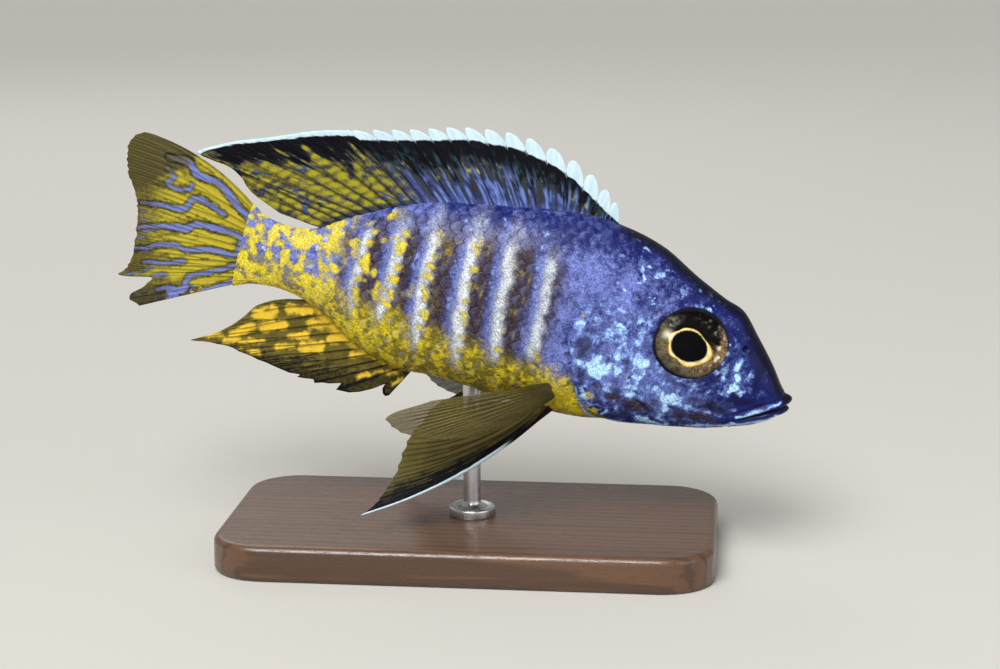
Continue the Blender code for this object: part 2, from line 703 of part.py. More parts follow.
def main():
    clear_scene()
    blue = material("blue_flesh", (0.10, 0.12, 0.42), 0.4)
    barred = material("barred_flesh", (0.34, 0.33, 0.42), 0.4)
    gold = material("gold_flesh", (0.50, 0.42, 0.12), 0.4)
    dark_fin = material("dark_fin", (0.05, 0.05, 0.12), 0.45)
    gold_fin = material("gold_fin", (0.55, 0.45, 0.10), 0.45)
    smoky_fin = material("smoky_fin", (0.22, 0.19, 0.08), 0.45)
    eye = material("eye", (0.20, 0.14, 0.06), 0.1)
    wood = material("stand_wood", (0.16, 0.09, 0.05), 0.45)
    steel = material("stand_steel", (0.62, 0.62, 0.64), 0.3, 1.0)

    whole = flesh()
    pieces = [
        (head(whole), blue), (lower_jaw(whole), blue), (torso(whole), barred),
        (tail_stalk(whole), gold), (dorsal_fin(), dark_fin), (anal_fin(), gold_fin),
        (tail_fin(), gold_fin),
    ]
    bpy.data.objects.remove(whole)
    for side, word in ((-1, "right"), (1, "left")):
        pieces += [
            (gill_cover(f"gill_cover_{word}", side), blue),
            (eye_ball(f"eye_{word}", side), eye),
            (pectoral_fin(f"pectoral_fin_{word}", side), smoky_fin),
            (pelvic_fin(f"pelvic_fin_{word}", side), smoky_fin),
        ]
    for made, paint in pieces:
        move_to_place(made)
        finish(made, paint)
    finish(stand_base(), wood)
    finish(stand_rod(), steel)


main()
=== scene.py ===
"""A male peacock cichlid as a still, life-size museum model on a board and one rod.

The fish is shaped in its own straight frame, in millimetres: x is 0 at the snout and falls towards
the tail, y points to its left side and z towards its back. in_place() curves the tail stalk, pitches
the fish nose down and sets it over the stand, in metres.
"""

import math
from types import SimpleNamespace

import bpy
import numpy as np
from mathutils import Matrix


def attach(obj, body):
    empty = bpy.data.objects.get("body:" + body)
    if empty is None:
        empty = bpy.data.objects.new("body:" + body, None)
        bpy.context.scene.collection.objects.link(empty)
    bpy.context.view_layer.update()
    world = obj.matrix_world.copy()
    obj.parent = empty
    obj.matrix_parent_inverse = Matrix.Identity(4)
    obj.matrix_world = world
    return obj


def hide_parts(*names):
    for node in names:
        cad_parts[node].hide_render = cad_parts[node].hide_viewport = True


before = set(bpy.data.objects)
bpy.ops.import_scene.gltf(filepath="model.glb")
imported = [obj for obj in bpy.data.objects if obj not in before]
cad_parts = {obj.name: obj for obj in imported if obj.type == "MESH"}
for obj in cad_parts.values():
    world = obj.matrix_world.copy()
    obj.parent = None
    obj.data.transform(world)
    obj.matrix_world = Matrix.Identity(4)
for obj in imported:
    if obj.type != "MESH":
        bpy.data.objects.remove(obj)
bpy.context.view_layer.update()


# The skin. On the real fish it is one hide over flesh, from the lips to the root of the tail: bare
# and mottled on the snout, scaled from the cheek back. The model's is one cast and painted surface.
# Its rings start inside the mouth, roll over the lips and grow into the rings of the trunk.

MM = 0.001
NOSE_DOWN = math.radians(15.3)
TAIL_TURN = math.radians(9.0)
TURN_STARTS = 45.0
TURN_ENDS = 95.0
ROD_BEHIND_SNOUT = 52.0
BELLY_HEIGHT = 28.5

# Stations behind the snout: back, belly, half width, height of the widest place
STATIONS = np.array([
    [0.0, 0.5, -1.2, 1.2, -0.3],
    [1.5, 1.8, -3.2, 2.6, -0.6],
    [4.0, 4.9, -5.1, 3.6, -0.6],
    [8.0, 9.2, -6.9, 4.7, 0.0],
    [11.3, 12.5, -8.1, 5.4, 0.7],
    [15.0, 13.8, -9.3, 6.1, 1.2],
    [20.0, 15.9, -10.6, 6.9, 1.6],
    [27.0, 19.3, -11.9, 7.9, 2.0],
    [36.0, 21.1, -13.1, 8.4, 2.3],
    [46.0, 20.4, -13.3, 8.3, 2.4],
    [58.0, 17.9, -13.1, 7.3, 2.0],
    [66.0, 15.9, -13.7, 6.2, 1.4],
    [74.0, 12.4, -11.8, 4.9, 0.5],
    [80.0, 8.9, -8.6, 3.9, -0.4],
    [85.0, 5.6, -7.1, 3.1, -1.0],
    [90.0, 4.5, -6.9, 2.4, -1.2],
    [94.0, 4.9, -7.7, 1.8, -1.2],
    [97.0, 6.0, -8.8, 1.1, -1.3],
])
BACK_FULLNESS = 2.1
BELLY_FULLNESS = 2.4
SNOUT_ROUND = 1.8  # how bluntly the snout closes in front of its fourth millimetre
SKIN_END = 97.0
SCALE_DEPTH = 0.22  # the scaled skin lies this far inside the solid body
BODY_CENTRE = (-40.0, 0.0, 2.0)

MOUTH_TIP_Z = -0.2
MOUTH_CORNER = (9.9, -5.95)
MOUTH_OPENING = 0.6
LIP_DEPTH = 1.75
LIP_RISES = np.concatenate([np.linspace(0, 0.3, 4), np.linspace(0.42, LIP_DEPTH, 11)])
LIP_SWELL = ([0.0, 0.15, 0.5, 0.9, 1.25, 1.5, LIP_DEPTH], [0.0, 0.3, 0.5, 0.4, 0.08, -0.1, 0.0])
FACE_ENDS = 13.0
FACE_RINGS = 60
HEAD_ENDS = 41.0
HEAD_RING_STEP = 0.2
BODY_RING_STEP = 0.5

EYE_PLACE = (18.8, 6.0)
EYE_DEPTH_CENTRE = 5.3
EYE_RADII = (6.7, 3.2, 6.1)
EYE_FORWARD = math.radians(10.0)
EYE_UP = math.radians(8.0)
EYE_HOLE = (6.25, 5.7)  # half length and half height of the opening in the skin
EYE_HOLE_TILT = math.radians(-8.0)
ORBIT_SWELL = 0.5
ORBIT_SPREAD = 6.5
SOCKET_DEPTH = 2.6

# The gill cover's free edge seen from the side, from its top round to the throat
GILL_EDGE = [
    (28.6, 8.6), (32.6, 8.9), (36.2, 7.4), (38.3, 4.4), (38.3, 1.2), (36.9, -2.0), (35.6, -5.4),
    (33.7, -8.6), (31.0, -10.3), (27.0, -10.9), (22.0, -10.2), (17.0, -9.0),
]
CHEEK_EDGE = [(29.0, 6.0), (28.0, 2.6), (27.0, -1.2), (25.4, -4.6), (22.6, -6.8), (18.4, -7.7)]
SNOUT_CREASE = [(11.2, -6.0), (10.0, -3.6), (6.4, -1.4), (3.0, 0.9)]
EYE_CREASE = [(12.6, 1.0), (11.6, 4.5), (12.8, 8.6)]
NOSTRIL_PLACE = (9.6, 7.3)
NOSTRIL_DEPTH = 0.75
PECTORAL_KNOB = (38.4, -7.4)  # the fleshy root of the pectoral fin
PORE_DEPTH = 0.3
# The large pores that this fish has on the lower half of its head
PORES = [
    (7.2, 2.6), (10.2, 1.0), (13.2, -0.6), (16.6, -1.3), (20.4, -1.2), (24.0, 0.2), (9.0, -7.0),
    (12.6, -7.6), (16.2, -8.5), (20.6, -7.6), (24.4, -6.0), (26.7, -2.4), (27.8, 1.6),
]


def smooth(at, knots, values):
    """A curve through the knots, without corners."""
    at, knots, values = (np.asarray(part, float) for part in (at, knots, values))
    slopes = np.gradient(values, knots)
    index = np.clip(np.searchsorted(knots, at) - 1, 0, len(knots) - 2)
    step = knots[index + 1] - knots[index]
    t = np.clip((at - knots[index]) / step, 0, 1)
    return (
        values[index] * (1 + 2 * t) * (1 - t) ** 2
        + slopes[index] * step * t * (1 - t) ** 2
        + values[index + 1] * t * t * (3 - 2 * t)
        + slopes[index + 1] * step * t * t * (t - 1)
    )


def ramp(value, low, high):
    """0 below low and 1 above high, with a soft change between."""
    t = np.clip((np.asarray(value, float) - low) / (high - low), 0, 1)
    return t * t * (3 - 2 * t)


def bell(value, width):
    return np.exp(-((np.asarray(value, float) / width) ** 2))


def blob(behind, up, centre, size):
    return np.exp(-(((behind - centre[0]) / size[0]) ** 2) - ((up - centre[1]) / size[1]) ** 2)


def back(behind):
    return smooth(behind, STATIONS[:, 0], STATIONS[:, 1])


def belly(behind):
    return smooth(behind, STATIONS[:, 0], STATIONS[:, 2])


def middle(behind):
    return smooth(behind, STATIONS[:, 0], STATIONS[:, 4])


def half_width(behind):
    plain = smooth(behind, STATIONS[:, 0], STATIONS[:, 3])
    blunt = 1 - (1 - np.clip(behind, 0, 4) / 4) ** SNOUT_ROUND
    return np.where(np.asarray(behind) < 4, STATIONS[2, 3] * blunt ** (1 / SNOUT_ROUND), plain)


def trunk_point(behind, turn):
    """A place on the plain trunk: turn is 0 at the left side, a quarter at the back."""
    behind, turn = np.broadcast_arrays(behind, turn)
    rise = np.sin(turn)
    above = rise >= 0
    reach = np.where(above, back(behind) - middle(behind), middle(behind) - belly(behind))
    up = middle(behind) + rise * reach
    fullness = np.where(above, BACK_FULLNESS, BELLY_FULLNESS)
    shape = np.sqrt(np.maximum(1 - np.abs(rise) ** fullness, 0))
    from_eye = (behind - EYE_PLACE[0]) ** 2 + (up - EYE_PLACE[1]) ** 2
    swell = ORBIT_SWELL * np.exp(-from_eye / ORBIT_SPREAD**2)
    side = np.sign(np.round(np.cos(turn), 9)) * (half_width(behind) + swell) * shape
    return np.stack([-behind, side, up], axis=-1)


def turn_at(behind, up):
    """The turn on the left side at which the trunk reaches this height."""
    above = up >= middle(behind)
    reach = np.where(above, back(behind) - middle(behind), middle(behind) - belly(behind))
    return np.arcsin(np.clip((up - middle(behind)) / reach, -1, 1))


def flank(behind, up):
    """Half the trunk's width at a place seen from the side."""
    return trunk_point(behind, turn_at(behind, up))[..., 1]


def in_place(points):
    """Points of the straight fish, in millimetres, at their place over the stand in metres."""
    points = np.asarray(points, float)
    flat = np.vstack([[-ROD_BEHIND_SNOUT, 0.0, float(belly(ROD_BEHIND_SNOUT))], points.reshape(-1, 3)])
    radius = (TURN_ENDS - TURN_STARTS) / TAIL_TURN
    past = np.maximum(0.0, -flat[:, 0] - TURN_STARTS)
    angle = np.minimum(past / radius, TAIL_TURN)
    beyond = np.maximum(0.0, past - (TURN_ENDS - TURN_STARTS))
    spine_x = -TURN_STARTS - radius * np.sin(angle) - beyond * math.cos(TAIL_TURN)
    spine_y = radius * (1 - np.cos(angle)) + beyond * math.sin(TAIL_TURN)
    x = np.where(past > 0, spine_x, flat[:, 0]) + flat[:, 1] * np.sin(angle)
    y = spine_y + flat[:, 1] * np.cos(angle)
    away = np.column_stack([x, y, flat[:, 2]])
    away = away[1:] - away[0]
    cos, sin = math.cos(NOSE_DOWN), math.sin(NOSE_DOWN)
    world_x = away[:, 0] * cos + away[:, 2] * sin
    world_z = -away[:, 0] * sin + away[:, 2] * cos + BELLY_HEIGHT
    return (np.column_stack([world_x, away[:, 1], world_z]) * MM).reshape(points.shape)


def rounded_path(places, steps):
    """A smooth open curve through side-view places."""
    places = np.array(places, float)
    walk = np.arange(len(places))
    at = np.linspace(0, len(places) - 1, steps * (len(places) - 1) + 1)
    return np.column_stack([smooth(at, walk, places[:, 0]), smooth(at, walk, places[:, 1])])


def from_path(places, behind, up, steps=8):
    """How far each place lies from a rounded path, positive on its left, and how far along it."""
    path = rounded_path(places, steps)
    shape = np.shape(behind)
    place = np.column_stack([np.ravel(behind), np.ravel(up)])
    best = np.full(len(place), 1e9)
    signed, along = np.zeros(len(place)), np.zeros(len(place))
    for index in range(len(path) - 1):
        step = path[index + 1] - path[index]
        share = np.clip((place - path[index]) @ step / (step @ step), 0, 1)
        off = place - path[index] - share[:, None] * step
        far = np.hypot(off[:, 0], off[:, 1])
        closer = far < best
        best = np.where(closer, far, best)
        side = np.where(step[0] * off[:, 1] - step[1] * off[:, 0] >= 0, 1.0, -1.0)
        signed = np.where(closer, far * side, signed)
        along = np.where(closer, (index + share) / (len(path) - 1), along)
    return signed.reshape(shape), along.reshape(shape)


def eye_ring(behind, up):
    """1 on the edge of the eye's opening, less inside it."""
    back_off, up_off = behind - EYE_PLACE[0], up - EYE_PLACE[1]
    cos, sin = math.cos(EYE_HOLE_TILT), math.sin(EYE_HOLE_TILT)
    long_way = (back_off * cos + up_off * sin) / EYE_HOLE[0]
    high_way = (up_off * cos - back_off * sin) / EYE_HOLE[1]
    return np.hypot(long_way, high_way)


def relief(behind, up):
    """How far the finished skin stands off the plain trunk, in millimetres."""
    scaly = 0.4 * ramp(behind, 17.0, 24.0) + 0.6 * ramp(behind, 24.0, 42.0)
    lift = -SCALE_DEPTH * scaly * (1 - ramp(behind, 94.0, 96.5))
    ring = eye_ring(behind, up)
    lift = lift - SOCKET_DEPTH * (1 - ramp(ring, 0.86, 1.0)) + 0.22 * bell(ring - 1.09, 0.07)
    lift = lift - 0.16 * bell(ring - 1.27, 0.06)
    off, along = from_path(GILL_EDGE, behind, up)
    shown = ramp(along, 0.06, 0.4) * (1 - ramp(along, 0.8, 1.0))
    over = 0.38 * np.exp(-np.maximum(-off, 0) / 5.0) * ramp(-off, -0.12, 0.16)
    under = -0.34 * np.exp(-np.maximum(off, 0) / 1.6) * ramp(off, -0.16, 0.12)
    lift = lift + shown * np.where(np.abs(off) < 9, over + under, 0)
    off, along = from_path(CHEEK_EDGE, behind, up)
    shown = ramp(along, 0.0, 0.15) * (1 - ramp(along, 0.85, 1.0))
    lift = lift + shown * (-0.3 * bell(off - 0.2, 0.32) + 0.14 * bell(off + 0.7, 0.7))
    off, along = from_path(SNOUT_CREASE, behind, up)
    lift = lift - 0.16 * ramp(along, 0, 0.2) * (1 - ramp(along, 0.7, 1.0)) * bell(off, 0.28)
    off, _ = from_path(EYE_CREASE, behind, up)
    lift = lift - 0.14 * bell(off, 0.45)
    near = np.hypot(behind - NOSTRIL_PLACE[0], up - NOSTRIL_PLACE[1])
    lift = lift - NOSTRIL_DEPTH * (1 - ramp(near, 0.2, 0.6)) + 0.13 * bell(near - 0.75, 0.2)
    for pore_behind, pore_up in PORES:
        near = np.hypot(behind - pore_behind, up - pore_up)
        lift = lift - PORE_DEPTH * (1 - ramp(near, 0.15, 0.5)) + 0.05 * bell(near - 0.62, 0.16)
    lift = lift + 0.7 * blob(behind, up, PECTORAL_KNOB, (1.6, 2.2))
    throat = bell(up - belly(behind), 0.9) * ramp(behind, 12, 17) * (1 - ramp(behind, 29, 33))
    lift = lift - 0.25 * throat
    sheath = bell(up - back(behind), 0.7) * ramp(behind, 35, 38) * (1 - ramp(behind, 82, 86))
    return lift + 0.2 * sheath


def skin_rings(around):
    """Distance behind the snout and turn of every ring, and the lip's own swelling there."""
    angle = np.arange(around) * math.tau / around
    upper = np.sin(angle) >= 0
    reach = np.abs(np.cos(angle)) ** 1.4
    mouth_back = MOUTH_CORNER[0] * reach
    mouth_up = MOUTH_TIP_Z + (MOUTH_CORNER[1] - MOUTH_TIP_Z) * reach
    mouth_up = mouth_up - np.where(upper, 0, MOUTH_OPENING * (1 - reach**2))
    corner_turn = np.arcsin(np.abs(np.sin(angle)))
    heading = math.pi / 2 * ramp(corner_turn, 0.0, 0.55)
    heights = np.linspace(-8, 14, 400)
    depths = np.linspace(0, 14, 400)
    front_top = np.interp(heights, back(depths), depths)
    front_low = np.interp(-heights, -belly(depths), depths)

    def left_side(rise):
        size = rise * (1 - 0.3 * reach**2)
        behind = mouth_back + size * np.cos(heading)
        up = mouth_up + size * np.sin(heading) * np.where(upper, 1, -1)
        front = np.where(up > STATIONS[0, 1], np.interp(up, heights, front_top), 0)
        front = np.where(up < STATIONS[0, 2], np.interp(up, heights, front_low), front)
        behind = behind + front * (1 - reach) ** 3
        return behind, turn_at(behind, up)

    rings = [left_side(rise) for rise in LIP_RISES]
    lip_behind, lip_turn = rings[-1]
    full_turn = np.arcsin(np.sin(angle))
    for step in np.linspace(0, 1, FACE_RINGS)[1:]:
        behind = lip_behind + (FACE_ENDS - lip_behind) * step
        rings.append((behind, lip_turn + (full_turn - lip_turn) * step))
    for behind in np.concatenate([
        np.arange(FACE_ENDS + HEAD_RING_STEP, HEAD_ENDS, HEAD_RING_STEP),
        np.arange(HEAD_ENDS, SKIN_END, BODY_RING_STEP), [SKIN_END],
    ]):
        rings.append((np.full(around, behind), full_turn))
    behind, left_turn = np.swapaxes(rings, 0, 1)
    turn = np.where(np.cos(angle) >= 0, left_turn, math.pi - left_turn)
    swell = np.zeros_like(turn)
    swell[:len(LIP_RISES)] = smooth(LIP_RISES, *LIP_SWELL)[:, None] * (1 - 0.5 * reach**2)
    return behind, turn, swell


def upright(first, second):
    """Unit normals across two directions."""
    normal = np.cross(first, second)
    return normal / np.maximum(np.linalg.norm(normal, axis=-1, keepdims=True), 1e-12)


def skin_shape(around):
    """The finished skin over the rings, in fish millimetres."""
    behind, turn, swell = skin_rings(around)
    plain = trunk_point(behind, turn)
    round_way = np.roll(plain, -1, axis=1) - np.roll(plain, 1, axis=1)
    normal = upright(np.gradient(plain, axis=0), round_way)
    outward = np.sign((normal * (plain - np.array(BODY_CENTRE))).sum())
    past_lips = np.arange(len(behind)) >= len(LIP_RISES)
    lift = relief(behind, plain[..., 2]) * past_lips[:, None] + swell
    return plain + normal * outward * lift[..., None]


def body_point(behind, turn, lift):
    """Places on the finished skin behind the face, raised by lift."""
    step = 0.05
    here = trunk_point(behind, turn)
    ahead = trunk_point(behind + step, turn) - here
    rising = trunk_point(behind, turn + step / 8) - here
    return here + upright(ahead, rising) * (relief(behind, here[..., 2]) + lift)[..., None]


def quads(rows, columns, wrap=False, start=0):
    """Corners of the faces of a grid whose points run row by row."""
    across = np.arange(columns if wrap else columns - 1)
    row = np.arange(rows - 1)[:, None] * columns
    following = (across + 1) % columns
    faces = np.stack([row + across, row + following, row + following + columns, row + across + columns], -1)
    return faces.reshape(-1, 4) + start


def make_mesh(name, points, faces, attributes=None, uv=None):
    """An object from world points, face corners and named values at its points."""
    mesh = bpy.data.meshes.new(name)
    faces = [np.asarray(part) for part in faces if len(part)]
    corners = np.concatenate([part.ravel() for part in faces])
    sizes = np.concatenate([np.full(len(part), part.shape[1]) for part in faces])
    mesh.vertices.add(len(points))
    mesh.vertices.foreach_set("co", np.asarray(points, np.float32).ravel())
    mesh.loops.add(len(corners))
    mesh.loops.foreach_set("vertex_index", corners.astype(np.int32))
    mesh.polygons.add(len(sizes))
    mesh.polygons.foreach_set("loop_start", np.concatenate([[0], np.cumsum(sizes)[:-1]]).astype(np.int32))
    mesh.update(calc_edges=True)
    for key, values in (attributes or {}).items():
        kind = "FLOAT" if np.ndim(values) == 1 else "FLOAT_VECTOR"
        field = "value" if kind == "FLOAT" else "vector"
        made = mesh.attributes.new(key, kind, "POINT")
        made.data.foreach_set(field, np.ravel(values).astype(np.float32))
    if uv is not None:
        made = mesh.uv_layers.new(name="OFBake")
        made.data.foreach_set("uv", np.asarray(uv, np.float32)[corners].ravel())
    mesh.validate()
    mesh.shade_smooth()
    made = bpy.data.objects.new(name, mesh)
    bpy.context.scene.collection.objects.link(made)
    return made


def clouds(places, size, seed, layers=2):
    """Soft random patches between about -1 and 1, of this size in millimetres."""
    total, weight = 0.0, 0.0
    for layer in range(layers):
        spot = np.asarray(places) * 2.0**layer / size + 19.19 * seed + 5.3 * layer
        cell = np.floor(spot).astype(np.int64)
        part = spot - cell
        part = part * part * (3 - 2 * part)
        value = 0.0
        for corner in np.ndindex(2, 2, 2):
            key = (cell + np.array(corner)) @ np.array([73856093, 19349663, 83492791])
            key = (key ^ (key >> 13)) * 1274126177 & 0x7FFFFFFF
            key = (key ^ (key >> 15)) * 668265263 & 0x7FFFFFFF
            level = (key >> 8) % 4096 / 2047.5 - 1
            share = np.where(np.array(corner) == 1, part, 1 - part).prod(axis=-1)
            value = value + level * share
        total = total + value * 0.55**layer
        weight += 0.55**layer
    return 1.7 * total / weight


# The painted pattern. Pale bars: distance behind the snout at three heights, then how yellow and how
# bright each is.
BARS = [
    ((81.0, 6.3), (80.4, -0.4), (80.8, -3.3), 1.0, 0.55),
    ((75.0, 8.3), (75.3, -0.6), (74.9, -5.4), 1.0, 0.85),
    ((70.0, 11.6), (69.4, 2.6), (69.4, -4.9), 1.0, 1.0),
    ((64.5, 14.7), (63.7, 4.6), (62.6, -7.4), 0.95, 1.0),
    ((57.6, 16.8), (57.1, 4.8), (55.3, -8.7), 0.7, 1.0),
    ((51.4, 16.4), (50.6, 5.5), (49.4, -5.4), 0.4, 0.95),
    ((44.4, 14.0), (44.0, 6.3), (43.5, -3.1), 0.2, 0.9),
]
# Where the head's colours end: height, and distance behind the snout
NECK = [
    (-11.5, 26.5), (-8.6, 33.7), (-5.4, 35.6), (-2.0, 36.9), (1.2, 38.3), (5.0, 38.2), (9.0, 36.5),
    (22.0, 33.0),
]
LATERAL_LINE = [
    (76.0, 7.3), (68.1, 9.4), (63.2, 10.9), (57.3, 11.9), (51.2, 12.8), (44.0, 12.2), (39.0, 10.4),
]
MEMBRANE = [(35.6, -5.1), (34.1, -8.1), (32.5, -10.5), (30.3, -11.6), (27.5, -11.6), (25.4, -11.4)]
# Bright strokes of the face, the lips first: places along each, half width, strength
STROKES = [
    ([(1.1, 0.3), (2.3, -0.7), (3.5, -1.6), (4.7, -2.4), (5.9, -3.2), (7.0, -4.0), (8.6, -4.8)], 0.36, 0.78),
    ([(0.7, -1.9), (2.5, -3.4), (4.7, -4.6), (6.8, -5.5), (8.9, -6.3), (11.1, -7.0), (13.3, -7.6),
      (17.9, -8.9)], 0.5, 0.8),
    ([(28.4, 6.1), (27.8, 3.1), (27.3, -0.1), (27.4, -3.5), (26.9, -6.7), (27.4, -9.3)], 0.3, 0.55),
    ([(20.4, -3.2), (18.4, -4.3), (16.2, -4.7), (15.0, -4.0)], 0.5, 0.9),
    ([(11.6, -2.6), (14.0, -2.5), (17.0, -2.6), (20.0, -2.2), (23.0, -0.6), (24.8, 2.0)], 0.6, 0.42),
    ([(31.4, 12.4), (29.0, 9.0), (26.3, 11.2)], 0.5, 0.4),
]
# Bright patches of the face and gill cover: behind, up, half length, half height, slant, strength
PATCHES = [
    (32.2, -1.8, 1.5, 1.2, 0.3, 1.0), (30.4, 1.3, 0.7, 0.9, -0.4, 0.9), (35.5, -1.8, 0.8, 0.7, -0.5, 1.0),
    (34.7, 2.5, 0.7, 0.6, 0.0, 0.9), (31.0, 4.4, 1.4, 0.8, 0.2, 0.7), (30.8, 6.0, 1.1, 0.3, -0.3, 1.0),
    (34.2, 5.9, 0.7, 0.4, 0.0, 0.8), (37.3, 4.3, 0.6, 0.6, 0.0, 0.8), (36.7, 7.4, 0.7, 0.8, 0.3, 0.9),
    (38.6, 6.2, 0.7, 0.6, 0.0, 0.6), (25.6, 0.9, 0.6, 1.0, 0.0, 1.0), (26.9, 5.4, 0.3, 0.8, 0.0, 0.7),
    (26.0, -4.3, 0.9, 1.0, 0.5, 1.0), (23.1, -3.1, 1.2, 0.6, 0.0, 0.6), (20.0, -4.0, 0.9, 0.8, 0.0, 1.0),
    (19.9, -6.3, 0.5, 1.0, -0.4, 1.0), (22.7, -8.8, 0.9, 0.5, 0.0, 0.9), (27.9, -7.4, 0.35, 0.7, 0.4, 0.8),
    (29.9, -5.2, 0.7, 0.6, 0.0, 0.8), (25.4, -2.0, 0.3, 0.8, 0.0, 0.7), (26.6, 15.6, 0.7, 0.4, 0.5, 0.7),
    (37.8, -3.0, 0.5, 1.1, -0.3, 0.45), (10.0, 4.6, 0.6, 0.9, -0.3, 0.9), (9.7, 1.4, 0.4, 1.3, -0.35, 1.0),
    (8.5, 0.1, 0.4, 0.5, 0.0, 0.9), (5.3, 3.6, 0.3, 0.6, 0.0, 0.6), (7.1, 1.2, 0.4, 0.4, 0.0, 0.6),
    (7.9, 3.0, 0.5, 0.8, -0.5, 0.5), (5.6, 0.5, 0.8, 0.3, 0.4, 0.5), (12.8, -4.6, 0.8, 0.32, 0.2, 0.9),
    (10.9, -4.3, 0.5, 0.4, 0.0, 0.8), (9.2, -3.1, 0.6, 0.45, 0.5, 0.9), (13.2, -1.2, 1.4, 0.6, 0.0, 0.35),
    (11.0, 1.2, 0.8, 0.8, 0.0, 0.45), (19.0, 12.2, 0.5, 0.8, -0.6, 0.6), (17.2, 11.9, 0.6, 0.3, -0.5, 0.6),
    (24.0, -5.2, 0.5, 0.5, 0.0, 0.7), (33.8, 9.4, 1.0, 0.7, 0.4, 0.35), (22.0, 14.0, 0.5, 0.4, 0.6, 0.6),
]
PATCH_SPREAD = 1.95
# Dark patches of the face: behind, up, half length, half height, strength, and how brown they are
SHADES = [
    (35.5, 0.9, 0.9, 1.3, 0.95, 0.0), (32.5, 1.1, 1.5, 0.6, 0.5, 0.3), (28.7, -6.0, 1.1, 0.7, 0.8, 1.0),
    (24.4, -6.4, 1.7, 0.7, 0.85, 1.0), (31.3, -7.4, 0.5, 1.0, 0.7, 0.8), (26.0, -8.3, 0.7, 0.9, 0.8, 0.3),
    (34.7, -4.1, 0.5, 1.0, 0.85, 0.5), (31.4, -4.8, 0.7, 0.5, 0.7, 0.8), (12.4, -3.2, 2.2, 0.7, 0.85, 0.0),
    (14.2, -5.9, 2.0, 0.6, 0.85, 0.9), (17.2, -6.3, 1.1, 0.8, 0.8, 0.9), (6.0, -1.2, 1.6, 0.6, 0.8, 0.1),
    (7.8, 7.6, 1.6, 1.3, 0.7, 0.0), (6.2, 4.2, 0.6, 2.6, 0.85, 0.0), (21.6, -5.2, 0.6, 0.6, 0.6, 0.9),
    (8.4, -1.4, 1.0, 0.7, 0.7, 0.0), (33.2, 5.9, 0.9, 0.5, 0.5, 0.0),
]
SHADE_SPREAD = 1.6
# Yellow flecks of the gill cover: behind, up, half length, half height
YELLOW_FLECKS = [
    (32.6, -7.2, 1.0, 0.8), (31.0, -9.7, 1.3, 0.8), (27.3, -2.2, 0.3, 0.6), (37.1, 6.1, 0.4, 0.4),
    (35.0, 7.9, 0.5, 0.3),
]
# Lighter places of the blue ground, the second of them a painted highlight over the temple: centre, half
# length and half height, strength
LIGHTER_GROUND_AND_HIGHLIGHT = [
    ((16.5, -3.6), (8.0, 3.0), 0.35), ((32.0, 10.5), (7.0, 4.5), 0.42), ((9.5, 2.6), (2.0, 3.6), 0.3),
    ((30.0, 16.0), (12.0, 5.0), 0.2),
]


def ground_of(places):
    """Each place, the random patches there, and how much it belongs to head, body and tail stalk."""
    at = SimpleNamespace(places=places, behind=-places[..., 0], up=places[..., 2])
    at.coarse, at.fine, at.tiny = clouds(places, 3.0, 1), clouds(places, 1.1, 2), clouds(places, 0.6, 4)
    at.tall = clouds(places * (1.0, 1.0, 0.35), 1.1, 3)
    at.net = clouds(places * (1.0, 0.8, 1.0), 0.85, 26, 3)
    neck = np.interp(at.up, *np.array(NECK).T)
    soft = 0.5 + 2.6 * ramp(at.up, 4.0, 9.0)
    at.head = 1 - ramp((at.behind - neck) / soft, -1.0, 1.0)
    at.body = 1 - at.head
    at.stalk = ramp(at.behind + 1.2 * at.coarse, 75.5, 82.0)
    at.over_line = at.up - np.interp(at.behind, *np.array(LATERAL_LINE[::-1]).T)
    at.above = ramp(at.over_line, -0.5, 2.0)
    at.cheek = blob(at.behind, at.up, (29.2, -0.6), (10.0, 7.8))
    at.snout = 1 - ramp(at.behind, 8.0, 12.5)
    at.from_top = back(at.behind) - at.up
    return at


